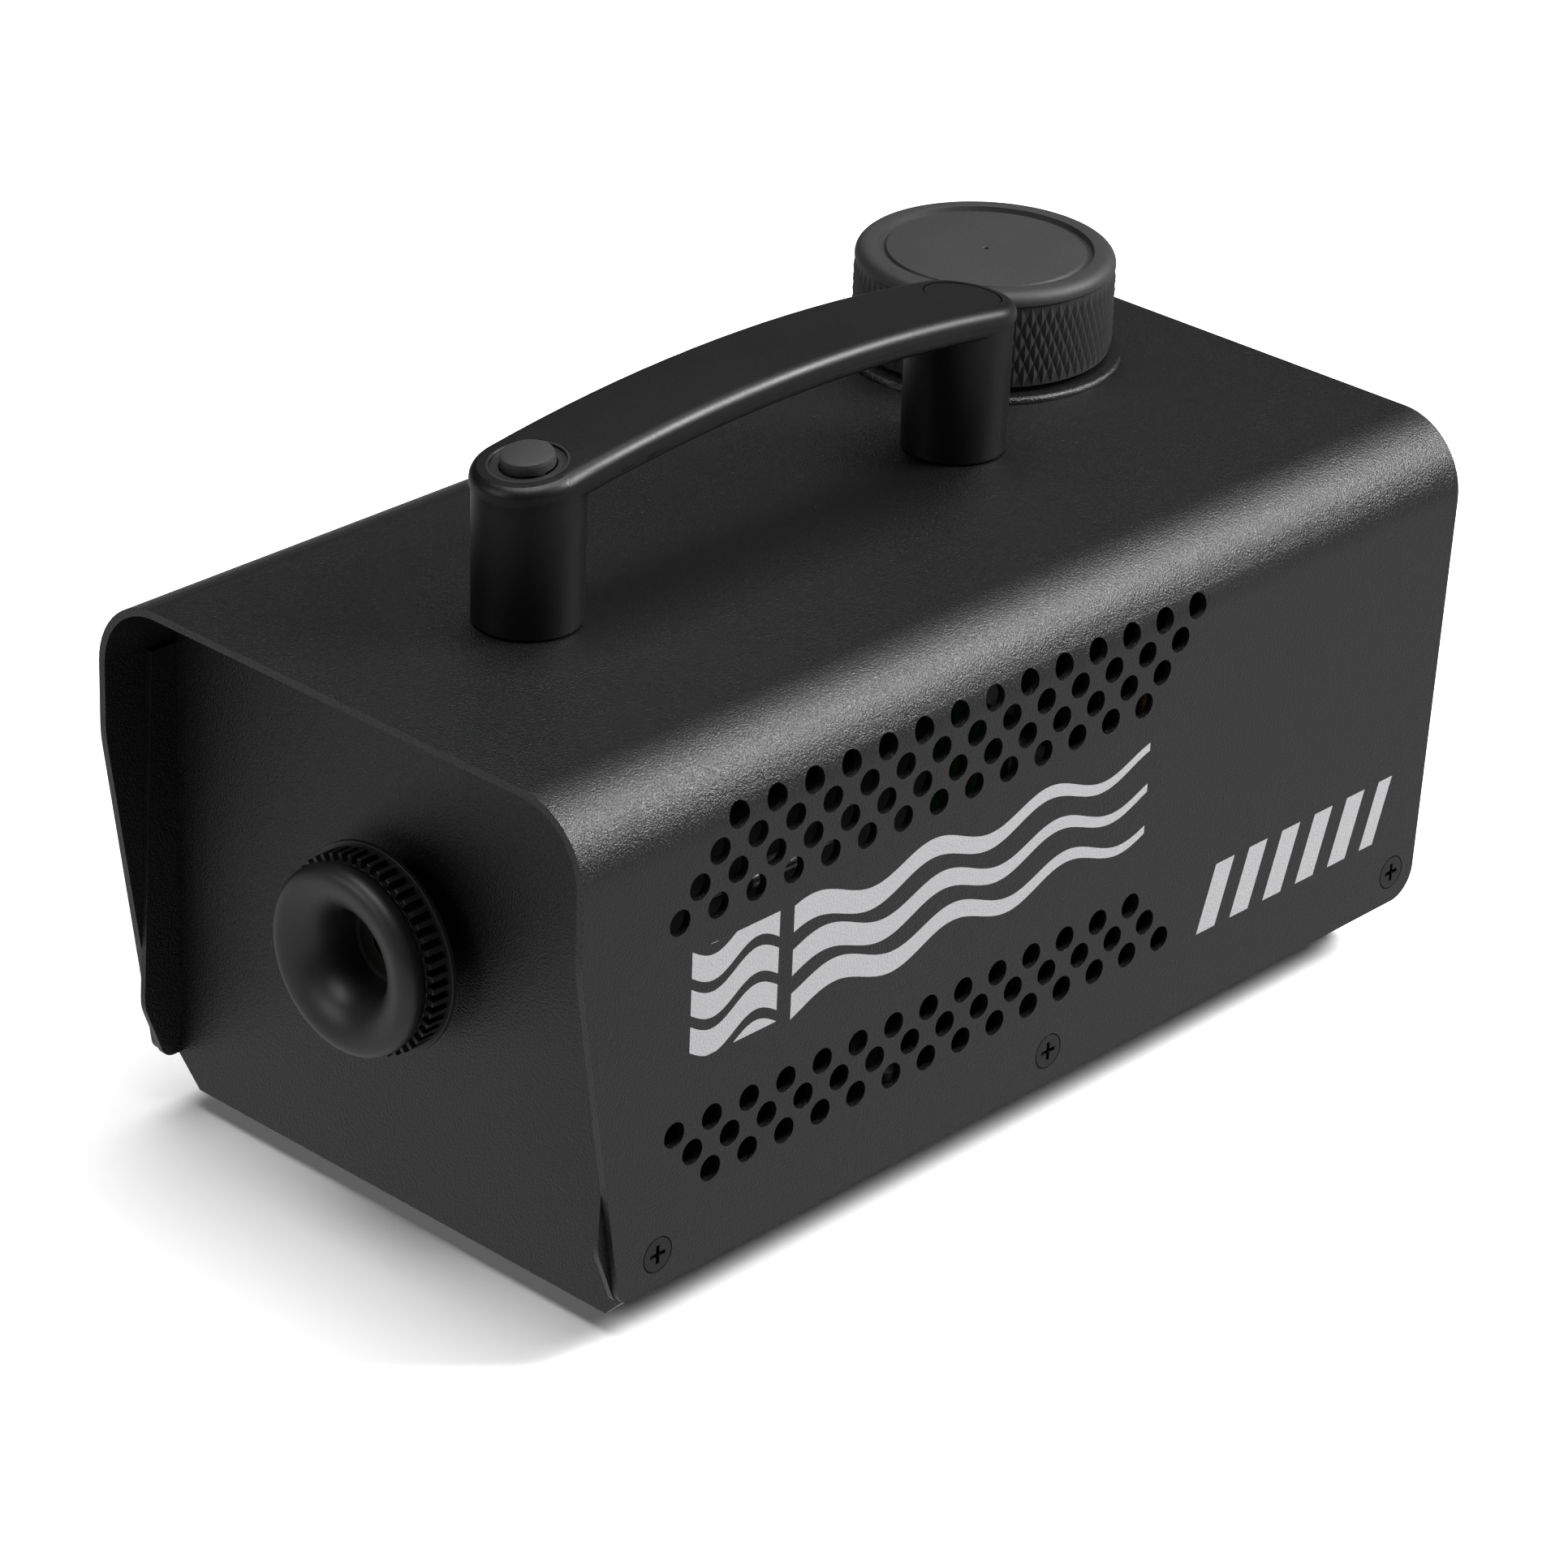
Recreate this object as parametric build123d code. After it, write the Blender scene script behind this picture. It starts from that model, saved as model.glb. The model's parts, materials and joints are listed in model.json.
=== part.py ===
from build123d import *
from math import atan2, cos, degrees, radians, sin
import os

# Small bench-top fog machine: a folded chassis tray under a folded cover, with the tank at the
# back left, the heater behind the nozzle and a trigger in the carrying handle.
# Millimetres. Front (nozzle) faces -Y, +X is to the right seen from the front, +Z is up, and
# the origin is on the bench, under the middle of the machine.

# ---- casing -------------------------------------------------------------------------------
LENGTH = 229.2                 # cover, front edge to rear edge
WIDTH = 117.0                  # cover, outside
FOOT_HEIGHT = 5.0
CHASSIS_Z = FOOT_HEIGHT        # underside of the tray
COVER_Z = CHASSIS_Z + 6.5      # lower edge of the cover's sides
COVER_HEIGHT = 95.2
TOP_Z = COVER_Z + COVER_HEIGHT
COVER_SHEET = 1.5
COVER_RADIUS = 14.3            # outside radius of the two top bends
KNEE_HEIGHT = 67.2             # the front edge slants back below this height
FRONT_SLANT = 10.8
KNEE_RADIUS = 30.0
REAR_SLANT = 4.0
CORNER_ROUND = 6.0
FRONT_Y = -LENGTH / 2
REAR_Y = LENGTH / 2

TRAY_SHEET = 1.2
TRAY_WIDTH = WIDTH - 2 * COVER_SHEET
TRAY_CHAMFER = 6.0
FLANGE_TOP_Z = COVER_Z + 13.5
PANEL_Y = -99.5                # front face of the front panel
REAR_PANEL_Y = 108.0           # rear face of the rear panel
PANEL_TOP_Z = TOP_Z - COVER_SHEET - 0.3
LIP_DEPTH = 8.4                # at the foot of the lip
LIP_TOP_DEPTH = 5.6
LIP_TOP_Z = COVER_Z + 80.5

# ---- vents --------------------------------------------------------------------------------
VENT_PITCH = 9.0
VENT_RADIUS = 2.4
VENTS_PER_ROW = 14
VENT_ROW_STEP = 5.0
UPPER_ROWS = 4
UPPER_ROW_Z = COVER_Z + 83.3
UPPER_ROW_REAR_Y = 38.4
LOWER_ROWS = 3
LOWER_ROW_Z = COVER_Z + 28.3
LOWER_ROW_REAR_Y = 25.1

# ---- casing screws ------------------------------------------------------------------------
SCREW_YS = (-95.0, 4.5, 104.0)
SCREW_Z = COVER_Z + 6.5
SCREW_HEAD_RADIUS = 3.2
SCREW_SHANK_RADIUS = 1.5
SCREW_LENGTH = 8.0
CROSS_WIDTH = 0.8
CROSS_LENGTH = 3.6
CROSS_DEPTH = 1.2

# ---- nozzle -------------------------------------------------------------------------------
NOZZLE_Z = TOP_Z - 50.2
NOZZLE_AXIS = (0, -1, 0)
STEM_RADIUS = 6.4
STEM_BORE = 3.0
STEM_END_Y = -102.3
RING_RADIUS = 19.1
RING_TEETH = 48
TOOTH_HEIGHT = 1.6
TOOTH_WIDTH = 0.9
RING_FRONT_Y = -108.6
RING_BACK_Y = -104.0
RIM_THICKNESS = 0.9
BELL_RADIUS = 17.4
BELL_LIP_Y = -113.6
BELL_BACK_Y = -101.1            # the bell's skirt ends on the bush's flange
SKIRT_RADIUS = 12.0
THROAT_RADIUS = 7.4
LIP_ROLL = 2.6                 # radius of the bell's rolled lip
BUSH_RADIUS = 10.5

# ---- handle -------------------------------------------------------------------------------
POST_FRONT_Y = -70.0
POST_REAR_Y = 38.0
POST_BASE_RADIUS = 9.6
POST_TOP_RADIUS = 10.0
GRIP_HALF_WIDTH = 10.2
GRIP_RADIUS = 366.0            # arch of the seam between the two halves
GRIP_MID_Y = -15.5
SEAM_RISE = 30.5               # height of the seam's crest over the cover
SHELL_CROWN = 2.9
GRIP_DEPTH = 3.0
SHELL_WALL = 1.6
BEZEL_RADIUS = 7.2
BEZEL_DEPTH = 0.6
BUTTON_RADIUS = 4.7
BUTTON_RISE = 2.3
BUTTON_TRAVEL = 2.0
PLUG_THICKNESS = 1.4
SWITCH_CAN_RADIUS = 6.0
SWITCH_CAN_LENGTH = 15.0
HANDLE_SCREW_RADIUS = 1.7

# ---- tank and cap -------------------------------------------------------------------------
TANK_X = -26.5                 # axis of the filler neck
TANK_Y = 75.5
TANK_BOX = (53.0, 59.0, 82.0)
TANK_FLOOR_Z = 10.0
TANK_WALL = 1.6
TANK_ROUND = 8.0
NECK_RADIUS = 20.6
NECK_WALL = 2.2
NECK_RISE = 15.6               # over the cover
COLLAR_RADIUS = 26.8
COLLAR_HEIGHT = 1.3
OPENING_RADIUS = 22.0
CAP_RADIUS = 24.6
CAP_BASE_RISE = 2.5
CAP_TOP_RISE = 20.9
CAP_BORE = 21.2
CAP_ROUND = 2.4
CAP_RIM = 20.2
CAP_DISC = 18.5
CAP_DISH = 0.8
LINER_THICKNESS = 1.5

# ---- inner workings -----------------------------------------------------------------------
HEATER_BOX = (46.0, 86.0, 34.0)
HEATER_Y = -41.0
WOOL_THICKNESS = 5.0
SHROUD_SHEET = 0.8
HEATER_FOOT_SPREAD = 32.0
HEATER_SCREW_RADIUS = 1.2
THERMOSTAT_RADIUS = 12.0
PUMP_X = 32.5
PUMP_Y = 60.0
PUMP_FLOOR_Z = 15.0
YOKE_BOX = (32.0, 30.0, 40.0)
YOKE_SHEET = 2.0
PUMP_TOP_Z = PUMP_FLOOR_Z + YOKE_BOX[2]
BARREL_TOP_Z = PUMP_TOP_Z + 8.0
BARREL_LOW_Z = PUMP_FLOOR_Z - 2.0
COIL_SIZE = (27.6, 27.0)
BARREL_RADIUS = 7.0
BARREL_BORE = 5.05
PISTON_RADIUS = 5.0
PISTON_LENGTH = 22.0
SPRING_WIRE = 0.6
SPRING_TURNS = 6
HOSE_Z = 21.0
SPOUT_LENGTH = 4.5
INLET_BLOCK = 4.0
HOSE_RADIUS = 3.0
HOSE_BORE = 1.6
PIPE_RADIUS = 2.0
PIPE_ENTRY_X = 10.0
PIPE_CREST_Z = 90.0
BOARD_BOX = (84.0, 1.6, 54.0)
BOARD_Y = 26.0
BOARD_Z = 12.0
INLET_X = 28.0
INLET_Z = 38.0
INLET_FLANGE = (50.0, 33.0)
INLET_BODY = (27.6, 30.4)
INLET_SCREW_SPACING = 40.0
DRAWER_HALF = 11.0
DRAWER_Z = INLET_Z + 10.6
DRAWER_HEIGHT = 6.4
DRAWER_DEPTH = 17.0
SOCKET_Z = INLET_Z - 4.2
SOCKET_SIZE = (24.2, 16.2)
SOCKET_DEPTH = 16.0
PIN_SPACING = 7.0
PIN_RISE = 2.0
PIN_THICKNESS = 2.0
PIN_WIDTH = 4.0
SWITCH_Z = 76.0
SWITCH_FLANGE = (21.0, 15.0)
SWITCH_BODY = (19.0, 12.6)
ROCKER_TILT = 9.0
ROCKER_AXIS_Y = REAR_PANEL_Y - 1.5
LAMP_Z = 93.0
LAMP_RADIUS = 3.0
FOOT_RADIUS = 7.0
FOOT_X = 40.0
FOOT_YS = (-84.0, 92.0)


# ---- small helpers ------------------------------------------------------------------------
def box(low, high):
    """A box from its lowest to its highest corner."""
    size = [b - a for a, b in zip(low, high)]
    centre = [(a + b) / 2 for a, b in zip(low, high)]
    return Pos(*centre) * Box(*size)


def rod(start, end, radius):
    """A straight cylinder from one point to another."""
    line = Edge.make_line(Vector(*start), Vector(*end))
    face = Plane(origin=start, z_dir=Vector(*end) - Vector(*start)) * Circle(radius)
    return extrude(face, amount=line.length)


def turned(points, origin, axis):
    """A solid of revolution from (radius, height) points about an axis through origin."""
    across = Vector(0, 1, 0) if abs(axis[0]) > 0.9 else Vector(1, 0, 0)
    plane = Plane(origin=origin, x_dir=across, z_dir=across.cross(Vector(*axis)))
    return revolve(plane * make_face(Polyline(*points, close=True)), Axis(origin, axis), 360)


def ring(origin, axis, outer, inner, height):
    """A plain ring or tube standing on origin."""
    return turned([(inner, 0), (outer, 0), (outer, height), (inner, height)], origin, axis)


def front_view(sketch, y_low, y_high):
    """A solid pushed along the machine from a sketch drawn in x and z."""
    plane = Plane(origin=(0, y_low, 0), x_dir=(1, 0, 0), z_dir=(0, -1, 0))
    return extrude(plane * sketch, amount=y_low - y_high)


def cross_screw(head, direction, head_radius, shank_radius, length):
    """A countersunk cross-head screw: head face at head, driven along direction."""
    cone = head_radius - shank_radius
    body = turned([(0, 0), (head_radius, 0), (head_radius, 0.3), (shank_radius, cone + 0.3),
                   (shank_radius, length - 1), (shank_radius - 0.8, length), (0, length)],
                  head, direction)
    plane = Plane(origin=head, z_dir=direction)
    recess = Rectangle(CROSS_WIDTH, CROSS_LENGTH) + Rectangle(CROSS_LENGTH, CROSS_WIDTH)
    return body - extrude(plane * recess, amount=CROSS_DEPTH)


def pan_screw(seat, direction, head_radius, shank_radius, length):
    """A pan-head screw: underside of its head at seat, driven along direction."""
    rise = head_radius * 0.6
    body = turned([(0, -rise), (head_radius * 0.7, -rise), (head_radius, -rise * 0.4),
                   (head_radius, 0), (shank_radius, 0), (shank_radius, length), (0, length)],
                  seat, direction)
    top = Vector(*seat) - Vector(*direction) * rise
    recess = Rectangle(0.6, head_radius * 1.1) + Rectangle(head_radius * 1.1, 0.6)
    return body - extrude(Plane(origin=top, z_dir=direction) * recess, amount=rise * 0.5)


def arch_z(y, offset=0.0):
    """Height of the grip's arch at y, moved outwards by offset."""
    radius = GRIP_RADIUS + offset
    centre_z = TOP_Z + SEAM_RISE - GRIP_RADIUS
    return centre_z + (radius ** 2 - (y - GRIP_MID_Y) ** 2) ** 0.5


def arch_slope(y):
    """Backward lean, in degrees, of the grip's surface at y."""
    return degrees(atan2(y - GRIP_MID_Y, GRIP_RADIUS))


# ---- casing -------------------------------------------------------------------------------
def cover_block(inset):
    """The cover's rounded outline as a full block, moved in by the inset."""
    half = WIDTH / 2 - inset
    top = TOP_Z - inset
    radius = COVER_RADIUS - inset
    outline = Pos(0, (top + COVER_Z) / 2) * Rectangle(2 * half, top - COVER_Z)
    corners = outline.vertices().sort_by(Axis.Y)[-2:]
    return front_view(fillet(corners, radius), FRONT_Y, REAR_Y)


def cover_ends():
    """The cover's side outline as a block, with the slanted front and rear edges."""
    above = TOP_Z + CAP_TOP_RISE
    face = make_face(Polyline((FRONT_Y + FRONT_SLANT, COVER_Z), (REAR_Y - REAR_SLANT, COVER_Z),
                              (REAR_Y, TOP_Z), (REAR_Y, above), (FRONT_Y, above),
                              (FRONT_Y, COVER_Z + KNEE_HEIGHT), close=True))
    face = fillet(face.vertices().sort_by(Axis.Y)[:2].sort_by(Axis.X)[-1], CORNER_ROUND)
    face = fillet(face.vertices().sort_by(Axis.X)[:3].sort_by(Axis.Y)[0], CORNER_ROUND / 2)
    knee = face.vertices().filter_by(lambda v: abs(v.Y - COVER_Z - KNEE_HEIGHT) < 0.1)
    face = fillet(knee, KNEE_RADIUS)
    plane = Plane(origin=(-WIDTH, 0, 0), x_dir=(0, 1, 0), z_dir=(1, 0, 0))
    return extrude(plane * face, amount=2 * WIDTH)


def vent_holes():
    """Drills through both sides: a leaning block of rows high up and another low down."""
    drills = []
    for row in range(UPPER_ROWS):
        for hole in range(VENTS_PER_ROW):
            y = UPPER_ROW_REAR_Y - row * VENT_PITCH / 2 - hole * VENT_PITCH
            drills.append((y, UPPER_ROW_Z - row * VENT_ROW_STEP))
    for row in range(LOWER_ROWS):
        for hole in range(VENTS_PER_ROW):
            y = LOWER_ROW_REAR_Y + row * VENT_PITCH / 2 - hole * VENT_PITCH
            drills.append((y, LOWER_ROW_Z - row * VENT_ROW_STEP))
    plane = Plane(origin=(-WIDTH, 0, 0), x_dir=(0, 1, 0), z_dir=(1, 0, 0))
    sketch = Sketch() + [Pos(y, z) * Circle(VENT_RADIUS) for y, z in drills]
    return extrude(plane * sketch, amount=2 * WIDTH)


def screw_seats(radius_gap):
    """Countersunk holes for the six casing screws."""
    seats = []
    for side in (-1, 1):
        for y in SCREW_YS:
            face = (side * WIDTH / 2, y, SCREW_Z)
            wide = SCREW_HEAD_RADIUS + radius_gap
            narrow = SCREW_SHANK_RADIUS + radius_gap
            seats.append(turned([(0, -1), (wide, -1), (wide, 0.3), (narrow, 0.3 + wide - narrow),
                                 (narrow, SCREW_LENGTH), (0, SCREW_LENGTH)],
                                face, (-side, 0, 0)))
    return seats


def top_cover():
    inner = cover_block(COVER_SHEET)
    collar = Pos(TANK_X, TANK_Y, TOP_Z - COLLAR_HEIGHT - 2) * Cylinder(
        COLLAR_RADIUS, 2 * COLLAR_HEIGHT + 2, align=(Align.CENTER, Align.CENTER, Align.MIN))
    collar = fillet(collar.edges().sort_by(Axis.Z)[-1:], COLLAR_HEIGHT * 0.7)
    shape = cover_block(0) + collar - inner
    shape = shape & cover_ends()
    shape -= Pos(TANK_X, TANK_Y, TOP_Z) * Cylinder(OPENING_RADIUS, 20)
    shape -= vent_holes()
    shape -= screw_seats(0.2)
    for y in (POST_FRONT_Y, POST_REAR_Y):
        shape -= Pos(0, y, TOP_Z) * Cylinder(2.2, 10)
    shape -= Pos(0, POST_FRONT_Y + 5.5, TOP_Z) * Cylinder(2.0, 10)
    return shape


def tray_section(inset):
    """Outline of the tray in x and z, moved in by the sheet's thickness."""
    half = TRAY_WIDTH / 2 - inset
    floor = CHASSIS_Z + inset
    cut = TRAY_CHAMFER - inset * 0.4
    return make_face(Polyline((-half, FLANGE_TOP_Z), (-half, floor + cut), (-half + cut, floor),
                              (half - cut, floor), (half, floor + cut), (half, FLANGE_TOP_Z),
                              close=True))


def panel_face(margin):
    """Outline of a panel in x and z: chamfered below and rounded above."""
    half = TRAY_WIDTH / 2 - margin
    face = make_face(Polyline((-half, PANEL_TOP_Z), (-half, CHASSIS_Z + TRAY_CHAMFER + margin),
                              (-half + TRAY_CHAMFER, CHASSIS_Z + margin),
                              (half - TRAY_CHAMFER, CHASSIS_Z + margin),
                              (half, CHASSIS_Z + TRAY_CHAMFER + margin), (half, PANEL_TOP_Z),
                              close=True))
    face = fillet(face.vertices().sort_by(Axis.Y)[-2:], COVER_RADIUS - COVER_SHEET - 0.2)
    return fillet(face.vertices().sort_by(Axis.Y)[:2], 2.5)


def panel_lip():
    """Side outline of the folded lips: a taper that widens towards the bottom."""
    bottom = CHASSIS_Z + TRAY_CHAMFER
    tip_y = PANEL_Y - LIP_DEPTH
    outline = Polyline((PANEL_Y + TRAY_SHEET, bottom), (PANEL_Y - LIP_DEPTH * 0.45, bottom),
                       (tip_y, bottom + 12), (PANEL_Y - LIP_TOP_DEPTH, LIP_TOP_Z),
                       (PANEL_Y + TRAY_SHEET, LIP_TOP_Z), close=True)
    face = make_face(outline)
    face = fillet(face.vertices().filter_by(lambda v: abs(v.X - tip_y) < 0.01), 8.0)
    low = face.vertices().filter_by(lambda v: v.Y < bottom + 0.1 and v.X < PANEL_Y)
    face = fillet(low, 3.0)
    plane = Plane(origin=(TRAY_WIDTH / 2 - TRAY_SHEET, 0, 0), x_dir=(0, 1, 0), z_dir=(1, 0, 0))
    return extrude(plane * face, amount=TRAY_SHEET)


def chassis():
    tray = front_view(tray_section(0), PANEL_Y, REAR_PANEL_Y - TRAY_SHEET)
    tray -= front_view(tray_section(TRAY_SHEET), PANEL_Y - 1, REAR_PANEL_Y + 1)
    front = front_view(panel_face(0), PANEL_Y, PANEL_Y + TRAY_SHEET)
    lip = panel_lip()
    shape = tray + front + lip + mirror(lip, Plane.YZ)
    shape -= rod((0, PANEL_Y - 2, NOZZLE_Z), (0, PANEL_Y + 4, NOZZLE_Z), BUSH_RADIUS - 2)
    shape -= screw_seats(0.02)
    for side in (-1, 1):
        for y in FOOT_YS:
            shape -= Pos(side * FOOT_X, y, CHASSIS_Z) * Cylinder(1.5, 8)
    for x, y in heater_feet():
        shape -= Pos(x, y, CHASSIS_Z) * Cylinder(HEATER_SCREW_RADIUS, 8)
    return shape


def rear_panel():
    plate = front_view(panel_face(0.3), REAR_PANEL_Y - TRAY_SHEET, REAR_PANEL_Y)
    half = TRAY_WIDTH / 2 - TRAY_CHAMFER - 1
    floor = CHASSIS_Z + TRAY_SHEET
    foot = box((-half, REAR_PANEL_Y - 12, floor), (half, REAR_PANEL_Y, floor + TRAY_SHEET))
    shape = plate + foot
    shape -= front_view(Pos(INLET_X, INLET_Z) * Rectangle(*[s + 0.4 for s in INLET_BODY]),
                        REAR_PANEL_Y - 2, REAR_PANEL_Y + 4)
    for side in (-1, 1):
        hole = (INLET_X + side * INLET_SCREW_SPACING / 2, INLET_Z)
        shape -= rod((hole[0], REAR_PANEL_Y - 3, hole[1]), (hole[0], REAR_PANEL_Y + 4, hole[1]), 1.5)
        shape -= Pos(side * FOOT_X / 2, REAR_PANEL_Y - 6, floor) * Cylinder(1.3, 8)
    shape -= front_view(Pos(INLET_X, SWITCH_Z) * Rectangle(*[s + 0.4 for s in SWITCH_BODY]),
                        REAR_PANEL_Y - 2, REAR_PANEL_Y + 4)
    shape -= rod((INLET_X, REAR_PANEL_Y - 3, LAMP_Z), (INLET_X, REAR_PANEL_Y + 4, LAMP_Z), LAMP_RADIUS)
    return shape


def cover_screws():
    screws = []
    for side in (-1, 1):
        for y in SCREW_YS:
            screws.append(cross_screw((side * WIDTH / 2, y, SCREW_Z), (-side, 0, 0),
                                      SCREW_HEAD_RADIUS, SCREW_SHANK_RADIUS - 0.02, SCREW_LENGTH))
    return Compound(children=screws)


def rear_panel_screws():
    floor = CHASSIS_Z + TRAY_SHEET
    screws = [pan_screw((side * FOOT_X / 2, REAR_PANEL_Y - 6, floor + TRAY_SHEET), (0, 0, -1),
                        2.6, 1.25, TRAY_SHEET) for side in (-1, 1)]
    return Compound(children=screws)


def rubber_feet():
    feet = []
    for side in (-1, 1):
        for y in FOOT_YS:
            foot = turned([(3.2, 0), (FOOT_RADIUS - 0.8, 0), (FOOT_RADIUS, 1.0),
                           (FOOT_RADIUS, FOOT_HEIGHT), (1.6, FOOT_HEIGHT), (1.6, 2.0), (3.2, 2.0)],
                          (side * FOOT_X, y, 0), (0, 0, 1))
            feet.append(foot)
    return Compound(children=feet)


def foot_screws():
    screws = [pan_screw((side * FOOT_X, y, 2.0), (0, 0, 1), 2.8, 1.48, 7.0)
              for side in (-1, 1) for y in FOOT_YS]
    return Compound(children=screws)


# ---- nozzle -------------------------------------------------------------------------------
def nozzle_stem():
    """Threaded outlet tube from the heater, through the front panel."""
    start = (0, HEATER_Y - HEATER_BOX[1] / 2, NOZZLE_Z)
    length = start[1] - STEM_END_Y
    return ring(start, NOZZLE_AXIS, STEM_RADIUS, STEM_BORE, length)


def nozzle_bush():
    """Heat-resisting bush that keeps the hot stem off the panel."""
    neck = BUSH_RADIUS - 2
    return turned([(STEM_RADIUS, -2), (neck, -2), (neck, TRAY_SHEET), (BUSH_RADIUS, TRAY_SHEET),
                   (BUSH_RADIUS, TRAY_SHEET + 1.6), (STEM_RADIUS, TRAY_SHEET + 1.6)],
                  (0, PANEL_Y + TRAY_SHEET, NOZZLE_Z), NOZZLE_AXIS)


def nozzle_ring():
    """Toothed ring on the bell's skirt: a thin rim, then a crown of small teeth."""
    depth = RING_BACK_Y - RING_FRONT_Y
    root = RING_RADIUS - TOOTH_HEIGHT - 0.9
    shape = turned([(SKIRT_RADIUS, 0), (RING_RADIUS, 0), (RING_RADIUS, RIM_THICKNESS),
                    (root, RIM_THICKNESS), (root, depth), (SKIRT_RADIUS, depth)],
                   (0, RING_BACK_Y, NOZZLE_Z), NOZZLE_AXIS)
    teeth = []
    middle = (RING_BACK_Y - RIM_THICKNESS + RING_FRONT_Y) / 2
    for index in range(RING_TEETH):
        tooth = Box(TOOTH_WIDTH, depth - RIM_THICKNESS, TOOTH_HEIGHT + 0.4)
        place = Pos(0, middle, NOZZLE_Z) * Rot(0, 360 * index / RING_TEETH, 0)
        teeth.append(place * Pos(0, 0, root + (TOOTH_HEIGHT - 0.4) / 2) * tooth)
    return shape + teeth


def nozzle_bell():
    """Trumpet outlet: a rolled lip, a deep flare and a skirt that carries the toothed ring."""
    plane = Plane(origin=(0, 0, NOZZLE_Z), x_dir=(1, 0, 0), z_dir=(0, 0, 1))
    crest = (BELL_RADIUS - LIP_ROLL, BELL_LIP_Y)
    widest = (BELL_RADIUS, BELL_LIP_Y + LIP_ROLL)
    arc_middle = (BELL_RADIUS - LIP_ROLL * 0.293, BELL_LIP_Y + LIP_ROLL * 0.293)
    shoulder = (BELL_RADIUS - 1.3, RING_FRONT_Y)
    throat = (THROAT_RADIUS, STEM_END_Y)
    flare = Spline(throat, (THROAT_RADIUS + 0.7, -107.6), (THROAT_RADIUS + 2.9, -111.6), crest,
                   tangents=[(0.02, -1), (1, 0)])
    lip = ThreePointArc(crest, arc_middle, widest)
    side = ThreePointArc(widest, (BELL_RADIUS - 0.35, (widest[1] + RING_FRONT_Y) / 2), shoulder)
    back = Polyline(shoulder, (SKIRT_RADIUS, RING_FRONT_Y), (SKIRT_RADIUS, BELL_BACK_Y),
                    (STEM_RADIUS, BELL_BACK_Y), (STEM_RADIUS, STEM_END_Y), throat)
    face = make_face(flare + lip + side + back)
    return revolve(plane * face, Axis((0, 0, NOZZLE_Z), (0, 1, 0)), 360)


# ---- handle -------------------------------------------------------------------------------
def grip_plan(half_width):
    """The grip seen from above: straight sides and round ends over the posts."""
    length = POST_REAR_Y - POST_FRONT_Y
    plan = Pos(0, (POST_FRONT_Y + POST_REAR_Y) / 2) * Rot(0, 0, 90) * SlotCenterToCenter(
        length, 2 * half_width)
    return extrude(Plane.XY.offset(TOP_Z) * plan, amount=2 * SEAM_RISE)


def arched_layer(low, high):
    """The space between two arches, across the whole grip."""
    ends = (POST_FRONT_Y - 2 * GRIP_HALF_WIDTH, POST_REAR_Y + 2 * GRIP_HALF_WIDTH)
    edges = []
    for offset in (low, high):
        points = [(y, arch_z(y, offset)) for y in (ends[0], GRIP_MID_Y, ends[1])]
        edges.append(ThreePointArc(*points))
    sides = [Line(edges[0] @ 0, edges[1] @ 0), Line(edges[0] @ 1, edges[1] @ 1)]
    face = make_face(Curve() + edges + sides)
    plane = Plane(origin=(-WIDTH / 2, 0, 0), x_dir=(0, 1, 0), z_dir=(1, 0, 0))
    return extrude(plane * face, amount=WIDTH)


def grip_tool(y, radius, low, high):
    """A cylinder square to the grip's surface at y, between two heights from the seam."""
    lean = radians(arch_slope(y))
    axis = Vector(0, sin(lean), cos(lean))
    seam = Vector(0, y, arch_z(y))
    return rod(tuple(seam + axis * low), tuple(seam + axis * high), radius)


def handle_shell():
    """Upper half of the grip, hollow underneath, with seats for the trigger and the plug."""
    shape = grip_plan(GRIP_HALF_WIDTH) & arched_layer(0, SHELL_CROWN)
    rim = shape.edges().filter_by(lambda e: e.center().Z > arch_z(e.center().Y) + SHELL_CROWN * 0.8)
    shape = fillet(rim, 2.3)
    shape -= grip_plan(GRIP_HALF_WIDTH - SHELL_WALL) & arched_layer(-0.5, SHELL_CROWN - SHELL_WALL)
    shape += (grip_tool(POST_FRONT_Y, BEZEL_RADIUS + 1.4, 0.4, SHELL_CROWN - 0.1)
              & arched_layer(0, SHELL_CROWN - 0.05))
    shape -= grip_tool(POST_FRONT_Y, BEZEL_RADIUS, -1, SHELL_CROWN + 2)
    shape -= grip_tool(POST_REAR_Y, BEZEL_RADIUS, SHELL_CROWN - PLUG_THICKNESS, SHELL_CROWN + 2)
    return shape


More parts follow.
